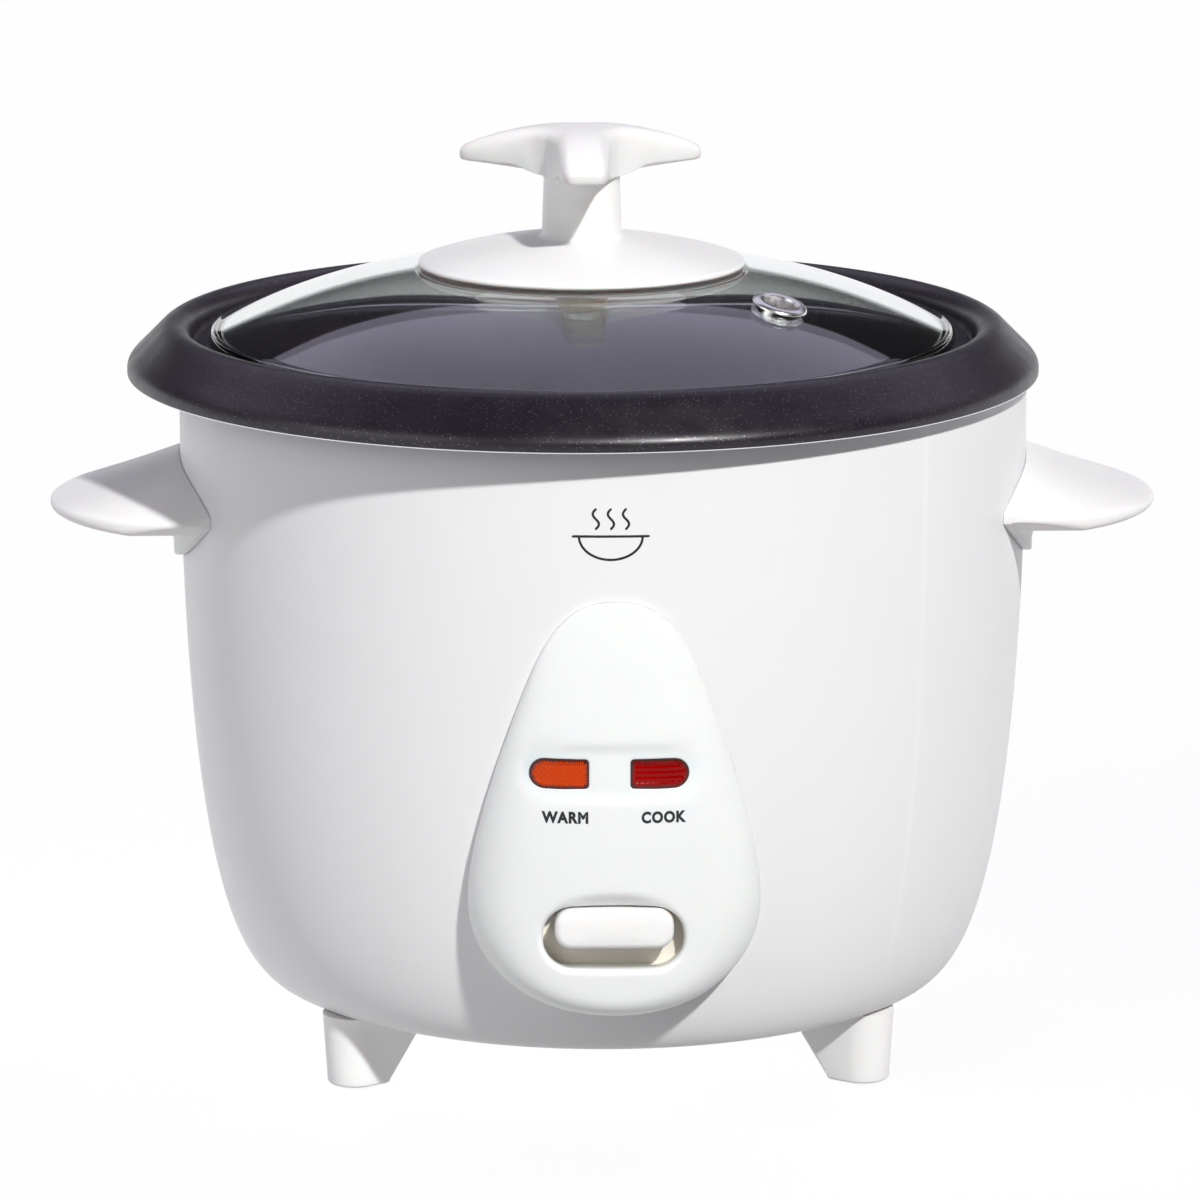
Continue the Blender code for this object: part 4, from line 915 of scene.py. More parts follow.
def make_panel(mats):
    """The cover with its rolled slot, sunk lamp band and scoop, and the pocket behind the slot."""
    outline = panel_outline()
    insets = [0.12, 0.4, 0.8, 1.3, 2.0, 2.8, 3.8, 5.0, 6.4, 8.0, 9.8, 11.8]
    known = {}
    rim_points = []
    for inset in insets:
        for x, z in inset_outline(outline, inset):
            known[(round(x, 3), round(z, 3))] = inset
            rim_points.append((x, z))
    cx, cz, half_w, half_h, radius = SLOT
    slots = [resampled(round_ended((cx, cz), half_w + d, half_h + d, radius + d, radius + d, 14),
                       0.8)
             for d in (0.0, 0.05, 0.2, 0.45, 0.8, 1.15, 1.5, 1.9, 2.3, 2.7)]
    windows = [resampled(lens_outline(side, x, 0.3 + d), 0.7) for d in (0.0, 0.04, 0.15, 0.4, 0.9)
               for side, x in zip((-1, 1), LENS_CENTRES_X)]
    inner_edge = inset_outline(outline, 12.6)

    def open_ground(x, z):
        clear = outside_loop(x, z, inner_edge) < 0
        return clear and outside_slot(x, z) > 3.2 and outside_windows(x, z) > 1.3

    def fine_ground(x, z):
        near_band = outside_box(x, z, LAMP_BAND, (21.5, 7.6), 6.3) < 0
        near_scoop = math.hypot((x + 0.6) / 19, (z - 59.4) / 7) < 1
        return (near_band or near_scoop) and open_ground(x, z)

    points = rim_points + [p for ring in slots[1:] + windows[2:] for p in ring]
    points += grid((-24, 50), (24, 116), 0.8, fine_ground)
    points += grid((-24, 36), (24, 124), 1.9, lambda x,
                   z: open_ground(x, z) and not fine_ground(x, z))

    def height(x, z):
        inset = known.get((round(x, 3), round(z, 3)))
        if inset is None:
            near_edge = abs(x) > 10 or z > 105 or z < 46
            inset = max(0.0, -outside_loop(x, z, outline)) if near_edge else 20.0
        return panel_y(x, z, inset)

    def skirt(x, z):
        if outside_slot(x, z) < 0.6:
            return -103.0
        if outside_windows(x, z) < 0.6:
            return -104.6
        return front_of_housing(x, z)

    def keep(x, z):
        return outside_slot(x, z) > 0 and outside_windows(x, z) > 0

    panel = sheet("panel", [outline, slots[0], *windows[:2]], points, height, keep, skirt,
                  mats["white_plastic"])
    thicken(panel, PANEL_WALL)
    ready(panel, "housing", "white_plastic", "control_panel")
    walls = round_ended((cx, cz), half_w + PANEL_WALL, half_h + PANEL_WALL, radius + PANEL_WALL,
                        radius + PANEL_WALL)
    hollow = round_ended((cx, cz), half_w + 0.02, half_h + 0.02, radius, radius)
    # The pocket wears the darker, warmer cream of painted shade, not the panel's own white.
    pocket = mesh_object("lever_pocket", extruded(walls, (-103.3, POCKET_BACK_Y + 1.4)),
                         [mats["pocket_painted_shade"]])
    carve(pocket, extruded(hollow, (-112, POCKET_BACK_Y)), box((-8, -104, 48.4), (8, -96, 56.6)))
    soften(pocket, 0.3)
    ready(pocket, "housing", "white_plastic")


def make_lenses(mats):
    """The two lamp windows: amber with a diamond grid and red with a square one."""
    for side, x0, name in zip((-1, 1), LENS_CENTRES_X, ("warm", "cook")):
        outline = resampled(lens_outline(side, x0, 0.0), 0.5)
        loops = [inset_outline(outline, d) for d in (0.1, 0.25, 0.45)]

        def height(x, z, side=side, outline=outline, x0=x0):
            inset = max(0.0, -outside_loop(x, z, outline))
            u = x + z if side < 0 else x
            v = x - z if side < 0 else z
            ridges = sum(abs(w / 1.25 % 1.0 - 0.5) * 2 for w in (u, v))
            crown = 0.25 * (1 - ((x - x0) / 6.5) ** 2)
            face = panel_base(x, z) + 0.62 - crown
            sunk = (0.25 + 0.13 * ridges) * smoothstep(0.55, 0.95, inset)
            return face + rim_fall(inset, 0.4) + sunk

        points = [p for loop in loops for p in loop]
        points += grid((x0 - 6.4, LENS_Z - 3.4), (x0 + 6.4, LENS_Z + 3.4), 0.17,
                       lambda x, z, outline=outline: outside_loop(x, z, outline) < -0.7)
        lens = sheet(f"lens_{name}", [outline], points, height, lambda x, z: True, lambda x,
                     z: -104.2,
                     mats["amber_lens" if side < 0 else "red_lens"])
        # The outer 0.3 mm of each lens takes the near-black edge colour, painted shade for the gap
        # round it.
        lens.data.materials.append(mats["lens_edge_painted_shade"])
        for face in lens.data.polygons:
            x, z = face.center.x / MM, face.center.z / MM
            face.material_index = 1 if outside_loop(x, z, outline) > -0.3 else 0
        thicken(lens, 1.1)
        ready(lens, "housing", "amber_lens" if side < 0 else "red_lens", f"{name}_lens")


def make_lever(mats):
    """The plastic paddle with a soft crowned face."""
    cx, cz, half_w, half_h = LEVER
    loops = []
    for share in (0.03, 0.3, 0.6, 0.85):
        ring = round_ended((0, 0), half_w - 1.7, half_h - 1.7, 2.2, 2.2)
        y = -109.6 + 0.3 * share ** 2
        loops.append([(cx + x * share, y, cz + z * share) for x, z in ring])
    for k in range(9):
        a = math.pi / 2 * k / 8
        inset = 1.7 * (1 - math.sin(a))
        y = -109.3 + 1.9 * (1 - math.cos(a))
        ring = round_ended((cx, cz), half_w - inset, half_h - inset, 3.9 - inset, 3.9 - inset)
        loops.append([(x, y, z) for x, z in ring])
    ring = round_ended((cx, cz), half_w, half_h, 3.9, 3.9)
    loops += [[(x, y, z) for x, z in ring] for y in (-105.0, -103.5, -103.2)]
    piece(mats, "lever_paddle", rings(loops), "lever", "white_plastic", "cook_lever", 50.0)


def print_shape(name, points, edges, surface, mats):
    """A thin raised print in the shape of closed outlines, laid on the housing."""
    xs, zs = zip(*points)

    def inside(x, z):
        odd = False
        for i, j in edges:
            (ax, az), (bx, bz) = points[i], points[j]
            if (az > z) != (bz > z) and x < ax + (z - az) / (bz - az) * (bx - ax):
                odd = not odd
        return odd

    flat = points + grid((min(xs), min(zs)), (max(xs), max(zs)), 0.5, inside)
    mesh, bm = filled(name, flat, edges, inside, lambda x, z: surface(x, z) - 0.03)
    bm.to_mesh(mesh)
    bm.free()
    mesh.materials.append(mats["ink"])
    obj = in_scene(name, mesh)
    thicken(obj, 0.06)
    ready(obj, "housing", None)


def make_words(mats):
    """The plain words under the two lamps."""
    for word, x, width in (("WARM", -11.7, 10.6), ("COOK", 10.8, 10.2)):
        text = bpy.data.curves.new(word, "FONT")
        text.body = word
        text.size = 4.0
        text.offset = 0.19
        text.space_character = 1.13
        text.resolution_u = 4
        holder = in_scene(f"word_{word.lower()}_source", text)
        bpy.context.view_layer.update()
        mesh = holder.to_mesh()
        bm = bmesh.new()
        bm.from_mesh(mesh)
        bmesh.ops.remove_doubles(bm, verts=bm.verts, dist=1e-4)
        border = [(e.verts[0].co.copy(), e.verts[1].co.copy()) for e in bm.edges if e.is_boundary]
        bm.free()
        holder.to_mesh_clear()
        bpy.data.objects.remove(holder)
        low = min(min(a.x, b.x) for a, b in border)
        high = max(max(a.x, b.x) for a, b in border)
        floor = min(min(a.y, b.y) for a, b in border)
        top = max(max(a.y, b.y) for a, b in border)
        scale_x = width / (high - low)
        scale_z = 2.8 / (top - floor)
        points = []
        edges = []
        for ends in border:
            pair = []
            for p in ends:
                spot = (x + (p.x - (low + high) / 2) * scale_x, 79.3 + (p.y - floor) * scale_z)
                pair.append(len(points))
                points.append(spot)
            edges.append(tuple(pair))
        print_shape(f"word_{word.lower()}", points, edges,
                    lambda px, pz: panel_y(px, pz, 20.0), mats)


def stroke(points, width):
    """The closed outline of a line drawn with a round-ended pen."""
    points = [Vector(p) for p in points]
    left = []
    right = []
    for i, point in enumerate(points):
        ahead = (points[min(i + 1, len(points) - 1)] - points[max(i - 1, 0)]).normalized()
        across = Vector((-ahead.y, ahead.x)) * (width / 2)
        left.append(tuple(point + across))
        right.append(tuple(point - across))
    tip = points[-1] + (points[-1] - points[-2]).normalized() * width / 2
    tail = points[0] + (points[0] - points[1]).normalized() * width / 2
    return left + [tuple(tip)] + right[::-1] + [tuple(tail)]


def make_sign(mats):
    """A plain drawing of a bowl with steam, printed on the front."""
    cx, cz = -1.1, 144.6
    lines = [
        [(cx + 7.2 * math.cos(a), cz + 5.4 * math.sin(a))
         for a in np.linspace(math.pi, math.tau, 30)],
        [(cx + x, cz) for x in np.linspace(-8.6, 8.6, 20)],
    ]
    for offset in (-3.4, 0.0, 3.4):
        lines.append([(cx + offset + 0.7 * math.sin(t * math.tau), cz + 1.7 + 4.6 * t)
                      for t in np.linspace(0, 1, 16)])
    for i, line in enumerate(lines):
        outline = stroke(line, 0.55)
        edges = [(k, (k + 1) % len(outline)) for k in range(len(outline))]
        print_shape(f"sign_{i}", outline, edges,
                    lambda x, z: -math.sqrt(housing_r(z) ** 2 - x * x), mats)


# ---- pot and lid

def make_pot(mats):
    """The coated pot: a lid seat inside a raised rim, and a slanted skirt with a bare cut edge."""
    hill = [tuple(p[:2]) for p in smooth_route(
        [(94.6, 172.6, 0), (95.2, 175.0, 0), (96.5, 176.6, 0), (98.4, 177.2, 0), (100.3, 176.9, 0),
         (101.8, 176.0, 0)], 6)]
    upper = [(0, POT_FLOOR + 1.5), (30, POT_FLOOR + 1.5), (55, POT_FLOOR + 1.5)]
    upper += arc((70.5, 93.0), 15.5, -90, 0, 20)
    upper += [(86.0, 120.0), (86.0, 145.0), (86.0, 168.6)]
    upper += rounded([(86.0, 168.6), (86.0, SEAT_Z), (93.9, SEAT_Z), (94.6, 172.6)],
                     (0, 1.6, 1.2, 0))[1:-1]
    upper += hill
    upper += [(104.0, 173.8), (106.2, 171.6)]
    upper += bezier((106.2, 171.6), (108.6, 169.2), (110.0, 168.2), (110.0, 166.4), 12)
    upper += [(110.0, 165.3), (109.9, 165.06), (109.7, 165.0)]
    lower = [(108.8, 165.0), (108.55, 165.1), (108.5, 165.4), (108.5, 166.6)]
    lower += bezier((108.5, 166.6), (108.4, 167.4), (107.4, 168.6), (106.6, 169.4), 6)
    lower += [(103.0, 173.0), (100.9, 174.9), (99.6, 175.5), (98.3, 175.6), (97.2, 175.0),
              (96.6, 173.6), (96.1, 172.2)]
    lower += rounded([(96.1, 172.2), (95.7, 169.6), (88.7, 169.6), (87.5, 167.0)],
                     (0, 1.2, 1.6, 0))[1:-1]
    lower += [(87.5, 167.0), (87.5, 140.0), (87.5, 110.0)]
    lower += arc((70.5, 93.0), 17.0, 0, -90, 20) + [(40, POT_FLOOR), (0, POT_FLOOR)]
    pot = mesh_object("pot", turned(upper + lower, (POT_X, 0.0), 320, closed=False),
                      [mats["pot_coating"], mats["cut_edge"]])
    for face in pot.data.polygons:
        low = face.center.z < 165.2 * MM
        far_out = math.hypot(face.center.x - POT_X * MM, face.center.y) > 108.3 * MM
        face.material_index = 1 if low and far_out else 0
    ready(pot, "pot", "pot_coating", "inner_pot")


def glass_top(r):
    """The lid glass's upper surface: a dome with a flat seat for the knob."""
    if r <= KNOB_FLAT_R:
        return KNOB_FLAT_Z
    if r >= DOME_START_R:
        return DOME_TOP - r * r / (2 * DOME_R)
    slope = DOME_START_R / DOME_R
    start = DOME_TOP - DOME_START_R ** 2 / (2 * DOME_R)
    span = DOME_START_R - KNOB_FLAT_R
    bend = (slope * span - KNOB_FLAT_Z + start) / span ** 2
    inward = DOME_START_R - r
    return start + slope * inward - bend * inward ** 2


def vent_matrix():
    """Where the vent sits on the glass, facing straight out of it."""
    direction = Vector((math.cos(VENT_ANGLE), math.sin(VENT_ANGLE), 0.0))
    normal = direction * (VENT_R / DOME_R) + Vector((0, 0, math.sqrt(1 - (VENT_R / DOME_R) ** 2)))
    middle = Vector((LID_X, 0, glass_top(VENT_R))) + direction * VENT_R
    return Matrix.Translation(middle) @ normal.to_track_quat("Z", "Y").to_matrix().to_4x4()


def make_glass(mats):
    """The domed glass with a ground round edge and its vent hole."""
    span = GLASS_EDGE_R - KNOB_FLAT_R
    stations = [3.4, 3.8, 12.0, 24.0, 34.0, 38.5] + [KNOB_FLAT_R + span * i / 40 for i in range(41)]
    upper = [(r, glass_top(r)) for r in stations]
    edge = (GLASS_EDGE_R, glass_top(GLASS_EDGE_R) - GLASS_THICK / 2)
    section = upper + arc(edge, GLASS_THICK / 2, 78, -90, 14)
    section += [(r, glass_top(r) - GLASS_THICK) for r in reversed(stations[:-1])]
    glass = mesh_object("lid_dome", turned(section, (LID_X, 0.0), 288), [mats["lid_glass"]])
    place = vent_matrix()
    carve(glass, placed(bar((0, 0, 6), (0, 0, -12), 5.3, 64), place))
    ready(glass, "lid", "lid_glass", "lid_glass")
    profile = [(3.9, 0.7), (4.1, 1.15), (4.6, 1.4), (5.4, 1.4), (6.1, 1.15), (6.5, 0.75),
               (6.6, 0.45), (6.3, 0.3)]
    profile += [(4.9, 0.3), (4.9, -4.3), (5.9, -4.35), (6.2, -4.6), (6.0, -4.95), (4.4, -5.0),
                (3.9, -4.7)]
    piece(mats, "vent_grommet", placed(turned(profile, steps=96), place), "lid", "steel",
          "steam_vent")


def star_r(offset, inset=0.0):
    """The star top's radius at an angle from a lobe's middle, or that of an outline set in."""
    along = abs(math.cos(offset)) / (LOBE_REACH - inset)
    across = abs(math.sin(offset)) / (LOBE_HALF_W - inset)
    lobe = (along ** LOBE_SQUARENESS + across ** LOBE_SQUARENESS) ** (-1 / LOBE_SQUARENESS)
    return (lobe ** 3.6 + (STAR_WAIST_R - inset * 0.6) ** 3.6) ** (1 / 3.6)


def knob_directions():
    """Directions of the knob's sections with each one's angle from the nearest lobe."""
    found = []
    for lobe in (-90, 30, 150):
        for i in range(-40, 40):
            t = i / 40
            offset = 60 * (0.38 * t + 0.62 * t ** 3)
            found.append((math.radians(lobe + offset), math.radians(offset)))
    return found


def crown(r, offset):
    """The star top's upper surface, which also falls away on both sides of a lobe's middle."""
    across = r * math.sin(abs(offset))
    return STAR_TOP - r * r / (2 * STAR_CROWN_R) - 0.5 * smoothstep(0.0, 8.0, across)


def knob_section(offset):
    """The knob's outline in one direction, from its top to its base."""
    off_lobe = smoothstep(math.radians(14), math.radians(46), abs(offset))
    fillet = 1.4 + 1.4 * smoothstep(math.radians(5), math.radians(14), abs(offset)) + 0.4 * off_lobe
    reach = star_r(offset)
    inner = star_r(offset, fillet)
    points = [(inner * share, crown(inner * share, offset))
              for share in (0.15, 0.35, 0.55, 0.75, 0.9)]
    drop = fillet * (0.85 - 0.15 * off_lobe)
    for k in range(9):
        a = math.pi / 2 * k / 8
        inset = fillet * (1 - math.sin(a))
        r = star_r(offset, inset)
        points.append((r, crown(r, offset) - drop * (1 - math.cos(a))))
    lift = smoothstep(0.0, 9.0, reach - 9.4)
    under = STAR_UNDER_Z + (LOBE_UNDER_Z - STAR_UNDER_Z) * lift
    low_fillet = 0.25 + 0.75 * lift
    for k in range(1, 6):
        a = math.pi / 2 * k / 5
        r = star_r(offset, low_fillet * (1 - math.cos(a)) * lift)
        points.append((r, under + low_fillet * (1 - math.sin(a))))
    foot_r = star_r(offset, low_fillet * lift)
    for share in (0.75, 0.5, 0.3, 0.15, 0.06):
        r = 9.2 + max(0.0, foot_r - 9.2) * share
        points.append((r, STAR_UNDER_Z + (under - STAR_UNDER_Z) * share - 0.4 * (1 - share) ** 4))
    points += [(9.15, STAR_UNDER_Z - 1.2), (9.3, 208.0), (9.45, 203.0), (9.55, 199.4)]
    points += arc((10.95, 198.2), 1.35, 180, 262, 6)
    for r in (12.5, 16.0, 20.0, 24.0, 28.0, 32.0, 35.0, 37.0):
        points.append((r, 191.4 + 6.2 * (1 - (r / DISC_R) ** 2)))
    points += [(38.2, 191.72), (38.9, 191.5), (39.28, 191.2), (39.4, 190.85), (39.3, 190.5),
               (38.9, 190.25), (38.3, 190.2)]
    return points


def make_knob(mats):
    """The white knob in one moulding, the boss and the screw under it."""
    directions = knob_directions()
    sections = [knob_section(offset) for _, offset in directions]
    loops = []
    for k in range(len(sections[0])):
        loops.append([(LID_X + s[k][0] * math.cos(a), s[k][0] * math.sin(a), s[k][1])
                      for (a, _), s in zip(directions, sections)])
    steps = len(directions)
    verts, faces = rings(loops)
    faces = faces[:-2]
    verts += [(LID_X, 0, STAR_TOP), (LID_X, 0, 190.2)]
    end = len(verts) - 2 - steps
    for i in range(steps):
        j = (i + 1) % steps
        faces += [(len(verts) - 2, j, i), (len(verts) - 1, end + i, end + j)]
    knob = mesh_object("knob", (verts, faces), [mats["white_plastic"]], sharp=60.0)
    carve(knob, bar((LID_X, 0, 186), (LID_X, 0, 206), 2.4), sharp=60.0)
    ready(knob, "lid", "white_plastic", "lid_knob")
    boss = [(2.5, 185.6), (9.4, 185.6), (8.0, 185.1), (7.0, 184.2), (6.3, 182.6), (5.9, 181.0),
            (5.6, 180.1), (5.1, 179.7), (2.5, 179.6)]
    cap = mesh_object("knob_boss", turned(boss, (LID_X, 0.0), 96), [mats["boss"]])
    ready(cap, "lid", "mica", "knob_washer")
    screw("knob_fixing", "knob_screw", "lid", (LID_X, 0, 177.0), (LID_X, 0, 205.0), 4.4, 2.3, 2.0,
          mats)


# ---- hardware

def screw(name, node, body, head, tip, head_r, head_len, shank_r, mats):
    """A pan-head screw with a cross recess and ridged shank, from its head's face to its tip."""
    run = (Vector(tip) - Vector(head)).length
    profile = [(0, 0), (head_r * 0.7, 0), (head_r * 0.93, 0.22), (head_r, 0.7),
               (head_r, head_len - 0.15)]
    profile += [(head_r - 0.15, head_len), (shank_r, head_len)]
    ridges = int((run - head_len - 1.2) / 0.4)
    for i in range(ridges):
        profile.append((shank_r * (1.0 if i % 2 else 0.82), head_len + 0.4 + 0.4 * i))
    profile += [(shank_r * 0.6, run - 0.3), (0, run)]
    turn = (Vector(tip) - Vector(head)).to_track_quat("Z", "Y").to_matrix().to_4x4()
    place = Matrix.Translation(Vector(head)) @ turn
    piece = mesh_object(name, placed(turned(profile, steps=40, closed=False), place),
                        [mats["steel"]], 30.0)
    arm = head_r * 0.55
    for half in ((arm, 0.35), (0.35, arm)):
        carve(piece, placed(box((-half[0], -half[1], -1), (half[0], half[1], head_len * 0.6)),
                            place), sharp=30.0)
    ready(piece, body, "steel", node)


def round_piece(name, node, body, slot, axis, mats):
    """A round bar that fills a CAD node's box along one axis, with rounded ends."""
    edge = 0.35
    low, high = (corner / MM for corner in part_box(node))
    middle = (low + high) / 2
    run = high[axis] - low[axis]
    radius = (high[(axis + 1) % 3] - low[(axis + 1) % 3]) / 2
    profile = [(0, 0), (radius - edge, 0), (radius - edge * 0.3, edge * 0.3), (radius, edge)]
    profile += [(radius, run - edge), (radius - edge * 0.3, run - edge * 0.3), (radius - edge, run),
                (0, run)]
    start = middle.copy()
    start[axis] = low[axis]
    direction = Vector((0, 0, 0))
    direction[axis] = 1.0
    place = Matrix.Translation(start) @ direction.to_track_quat("Z", "Y").to_matrix().to_4x4()
    piece = mesh_object(name, placed(turned(profile, steps=56, closed=False), place), [mats[slot]])
    ready(piece, body, slot, node)


def make_round_pieces(mats):
    """Every plain round piece, in finer form than the frame's."""
    rows = [
        ("rest_pin", "lever_pivot_pin", "housing", "steel", 0),
        ("blade_left", "inlet_pin_left", "housing", "brass", 1),
        ("blade_right", "inlet_pin_right", "housing", "brass", 1),
        ("ferrite_top", "sensor_ferrite", "sensor", "ferrite", 2),
        ("ferrite_low", "magnet", "plunger", "ferrite", 2),
        ("press_stud", "switch_button", "button", "dark_plastic", 2),
        ("fuse_tube", "thermal_fuse", "housing", "lead_cover", 0),
        ("tube_warm", "warm_lamp", "housing", "lamp_glass", 0),
        ("tube_cook", "cook_lamp", "housing", "lamp_glass", 0),
        ("stub_left", "element_terminal_left", "housing", "steel", 2),
        ("stub_right", "element_terminal_right", "housing", "steel", 2),
    ]
    rows += [(f"post_{i}", f"plate_post_{i}", "housing", "galvanised", 2) for i in (1, 2, 3)]
    for corner in FOOT_SIDES:
        rows.append((f"pad_{corner}", f"foot_pad_{corner}", "housing", "rubber", 2))
    for row in rows:
        round_piece(*row, mats)


def make_screws(mats):
    """The screws in the handles, the panel and the base."""
    for name, sx, y in (("left_front", -1, -20), ("left_rear", -1, 20), ("right_front", 1, -20),
                        ("right_rear", 1, 20)):
        screw(f"screw_{name}", f"handle_screw_{name}", "housing",
              (sx * 95.8, y, 135.0), (sx * 112.0, y, 135.0), 3.2, 2.0, 1.5, mats)
    for name in ("left", "right"):
        low, high = (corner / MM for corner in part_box(f"panel_screw_{name}"))
        x = (low.x + high.x) / 2
        z = (low.z + high.z) / 2
        screw(f"screw_panel_{name}", f"panel_screw_{name}", "housing", (x, high.y, z),
              (x, low.y, z), 3.0, 2.0, 1.3, mats)
    screw("screw_base", "base_screw", "housing", (0, -64, 16.8), (0, -64, 25.0), 3.4, 2.4, 1.5,
          mats)


def make_heater(mats):
    """The cast heating plate with its element ridge, and the sprung sensor cup in its middle."""
    top = HEATER_TOP
    profile = [(21.0, top - 0.5), (21.5, top), (69.0, top), (70.6, top - 0.25), (71.7, top - 1.2),
               (72.0, top - 3.0)]
    profile += [(72.0, 68.0), (71.6, 66.8), (70.0, 66.0), (63.0, 66.0), (61.6, 65.0), (59.8, 60.4),
                (58.6, 59.2)]
    profile += [(57.0, 59.0), (53.0, 59.0), (51.4, 59.2), (50.2, 60.4), (48.4, 65.0), (47.0, 66.0),
                (21.6, 66.0), (21.0, 66.5)]
    piece(mats, "hot_plate", turned(profile), "housing", "cast_aluminium", "heating_plate")
    cup = [(0, top), (12.0, top), (17.2, top), (18.5, top - 0.5), (19.0, top - 1.8), (19.0, 57.5),
           (18.9, 57.0)]
    cup += [(18.1, 57.0), (18.1, top - 2.2), (17.4, top - 1.5), (0, top - 1.5)]
    piece(mats, "sensor_cap", turned(cup, closed=False), "sensor", "cast_aluminium", "sensor_cup")
    guide = [(17.3, 67.7), (17.3, 51.6), (17.7, 51.2), (29.7, 51.2), (30.0, 50.9), (30.0, 50.3),
             (29.7, 50.0)]
    guide += [(17.7, 50.0), (17.3, 49.6), (17.3, 41.0), (16.6, 40.1), (15.8, 40.0), (2.4, 40.0),
              (2.4, 41.2)]
    guide += [(15.6, 41.2), (16.3, 41.9), (16.3, 68.0), (17.0, 68.0)]
    tube = mesh_object("guide_tube", turned(guide, steps=128), [mats["galvanised"]])
    studs = [bar((sx * 26.5, 0, 50.6), (sx * 26.5, 0, 65.7), 2.2) for sx in (-1, 1)]
    carve(tube, merged(*studs), operation="UNION")
    ready(tube, "housing", "galvanised", "thermostat_guide")
    rod = [(0, 51.7), (1.3, 51.7), (1.5, 51.5), (1.5, 28.5), (4.7, 28.4), (5.0, 28.1), (5.0, 27.3),
           (4.7, 27.0)]
    rod += [(1.5, 26.9), (1.5, 24.8), (1.2, 24.5), (0, 24.5)]
    piece(mats, "push_rod", turned(rod, steps=64, closed=False), "plunger", "brass", "plunger_rod")


def make_springs(mats):
    """The two coil springs."""
    wide = piece(mats, "coil_wide", swept(helix(12.5, 42.2, 73.2, 4), 0.6), "housing", "steel",
                 "sensor_spring", 60.0)
    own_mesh(wide)
    small = piece(mats, "coil_small", swept(helix(3.4, 29.3, 39.2, 3), 0.5), "housing", "steel",
                  "plunger_spring", 60.0)
    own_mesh(small)


def make_leads(mats):
    """The insulated leads inside the base."""
    routes = {
        "live": [(-6.5, 74.2, 40), (-10, 64, 38), (-24, 48, 38), (-36, 37.5, 37), (-37, 32, 35)],
        "neutral": [(6.5, 74.2, 40), (12, 66, 38), (19, 56, 38), (20, 51, 40), (20, 51, 43.2)],
        "element": [(-20, 51, 43.2), (-20, 49, 39), (-26, 40, 36.5), (-31, 32, 34.8)],
    }
    for name, route in routes.items():
        piece(mats, f"wire_{name}", swept(smooth_route(route), 1.1), "housing", "lead_cover",
              f"lead_{name}", 60.0)


def dress_frame(mats):
    """Better finishes and soft edges for the pieces that are shown as the frame has them."""
    rows = {
        "inlet_socket": ("dark_plastic", 0.5),
        "lamp_holder": ("dark_plastic", 0.3),
        "lever_arm": ("galvanised", 0.25),
        "switch_bracket": ("galvanised", 0.25),
        "micro_switch": ("dark_plastic", 0.35),
        "terminal_block": ("lead_cover", 0.5),
        "keep_warm_heater": ("mica", 0.25),
    }
    for node, (finish_name, width) in rows.items():
        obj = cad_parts[node]
        obj.data.materials.clear()
        obj.data.materials.append(mats[finish_name])
        soften(obj, width)


# ---- stage

def light_floor(mat):
    """Make the floor look white everywhere, while it lights the object only from close round it."""
    tree = mat.node_tree
    distance = add(tree, "VectorMath", {0: object_place(tree)}, operation="LENGTH").outputs["Value"]
    near = spread(tree, distance, TABLE_GLOW, 0.0, *TABLE_R)
    soft = add(tree, "LightPath").outputs["Is Diffuse Ray"]
    seen = spread(tree, soft, FLOOR_GLOW, 0.0, 0.0, 1.0)
    strength = combined(tree, "ADD", seen, combined(tree, "MULTIPLY", near, soft))
    glow = add(tree, "Emission", {"Strength": strength}).outputs["Emission"]
    lit = tree.nodes["Principled BSDF"].outputs["BSDF"]
    both = add(tree, "AddShader", {0: lit, 1: glow}).outputs["Shader"]
    link(tree, both, tree.nodes["Material Output"].inputs["Surface"])


def heading(azimuth, height):
    """The direction at an angle from the front and a height above the floor, in degrees."""
    turn, rise = math.radians(azimuth), math.radians(height)
    return Vector((math.sin(turn) * math.cos(rise), -math.cos(turn) * math.cos(rise),
                   math.sin(rise)))


def softbox(tree, direction, azimuth, height, strength):
    """A round soft light in the surroundings."""
    inputs = {0: direction, 1: heading(azimuth, height)}
    along = add(tree, "VectorMath", inputs, operation="DOT_PRODUCT").outputs["Value"]
    inner, outer = (math.cos(math.radians(angle)) for angle in SOFTBOX_CONE)
    return spread(tree, along, 0.0, strength, outer, inner)


def make_world():
    """The studio: soft lights at the sides, a white wall and a high panel behind."""
    world = bpy.data.worlds.new("studio")
    bpy.context.scene.world = world
    world.use_nodes = True
    tree = world.node_tree
    direction = add(tree, "TexCoord").outputs["Generated"]
    split = add(tree, "SeparateXYZ", {"Vector": direction})
    y, z = (split.outputs[axis] for axis in "YZ")
    boxes = [softbox(tree, direction, *row) for row in SOFTBOXES]
    wall = combined(tree, "MULTIPLY", spread(tree, y, 0.0, WALL_GLOW, *WALL_BEHIND),
                    spread(tree, z, 1.0, 0.0, *WALL_TOP))
    base = spread(tree, z, AMBIENT, AMBIENT * 1.4, 0.0, 1.0)
    panel = combined(tree, "MULTIPLY", spread(tree, y, 0.0, HIGH_GLOW, *HIGH_BEHIND),
                     spread(tree, z, 0.0, 1.0, *HIGH_BOTTOM))
    low = tree.nodes["Background"]
    low.inputs["Color"].default_value = SURROUND_COLOUR
    link(tree, combined(tree, "ADD", *boxes, wall, base), low.inputs["Strength"])
    high = add(tree, "Background", {"Color": HIGH_COLOUR, "Strength": panel})
    both = add(tree, "AddShader", {0: low.outputs["Background"], 1: high.outputs["Background"]})
    link(tree, both.outputs["Shader"], tree.nodes["World Output"].inputs["Surface"])


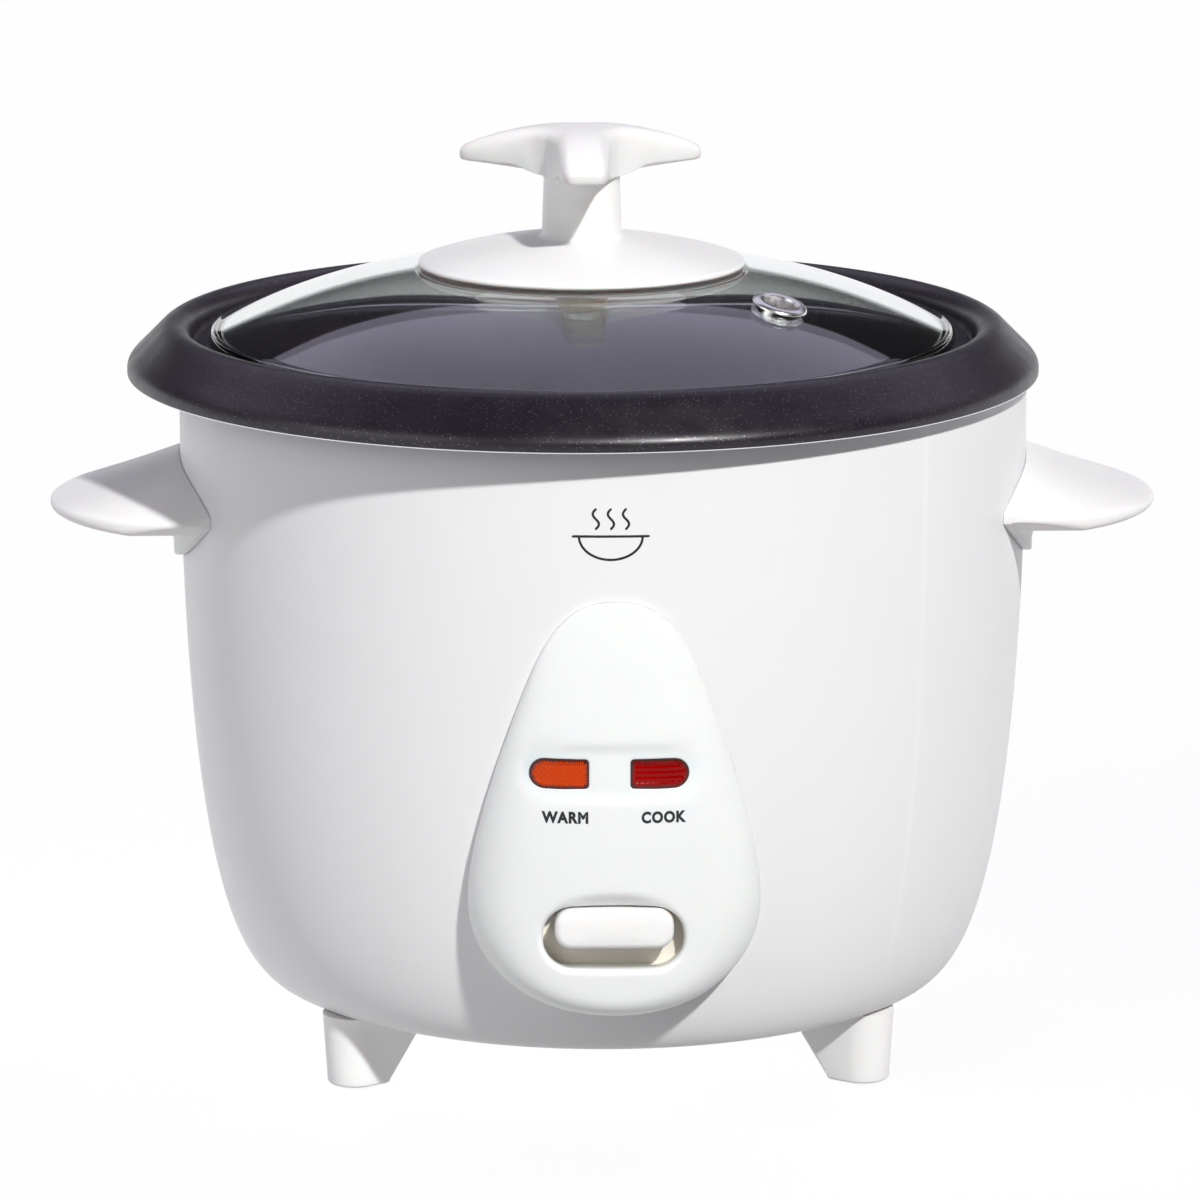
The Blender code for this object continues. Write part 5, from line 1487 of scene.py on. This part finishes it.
def make_key(floor):
    """One hard-edged key light from the front right, which leaves the floor out."""
    sun = bpy.data.lights.new("key", "SUN")
    sun.energy = KEY_ENERGY
    sun.angle = math.radians(3.0)
    sun.color = (1.0, 0.99, 0.975)
    ray = heading(*KEY_DIRECTION)
    key = in_scene("key", sun)
    key.rotation_mode = "QUATERNION"
    key.rotation_quaternion = ray.to_track_quat("Z", "Y")
    key.location = ray * 2
    left_out = bpy.data.collections.new("unlit_by_key")
    left_out.objects.link(floor)
    key.light_linking.receiver_collection = left_out
    left_out.collection_objects[0].light_linking.link_state = "EXCLUDE"


def make_camera():
    """A long lens a little above the lid."""
    camera = bpy.data.cameras.new("camera")
    camera.lens = CAMERA_LENS
    camera.sensor_width = 36.0
    view = in_scene("camera", camera)
    turn = math.radians(CAMERA_TURN)
    right = Vector((math.cos(turn), math.sin(turn), 0))
    away = Vector((math.sin(turn) * CAMERA_AWAY, -math.cos(turn) * CAMERA_AWAY, CAMERA_HEIGHT))
    view.location = away - right * CAMERA_SHIFT
    view.rotation_euler = (math.radians(CAMERA_PITCH), 0, turn)
    bpy.context.scene.camera = view


def make_stage():
    """A plain pale floor, soft surroundings, one key light and the camera."""
    floor_mat = finish("floor", (0.30, 0.30, 0.30), 0.7, tone=0.01, grain=30, depth=0.02,
                       Specular_IOR_Level=0.1)
    light_floor(floor_mat)
    corners = [(-9000, -9000, -0.2), (9000, -9000, -0.2), (9000, 9000, -0.2), (-9000, 9000, -0.2)]
    floor = mesh_object("floor", (corners, [(0, 1, 2, 3)]), [floor_mat])
    make_world()
    make_key(floor)
    make_camera()
    bpy.context.scene.view_settings.view_transform = "Standard"


def main():
    """Build every piece and the stage."""
    mats = make_materials()
    make_shell(mats)
    make_liner(mats)
    make_base(mats)
    make_feet(mats)
    make_handles(mats)
    make_panel(mats)
    make_lenses(mats)
    make_lever(mats)
    make_words(mats)
    make_sign(mats)
    make_pot(mats)
    make_glass(mats)
    make_knob(mats)
    make_round_pieces(mats)
    make_screws(mats)
    make_heater(mats)
    make_springs(mats)
    make_leads(mats)
    dress_frame(mats)
    make_stage()


main()
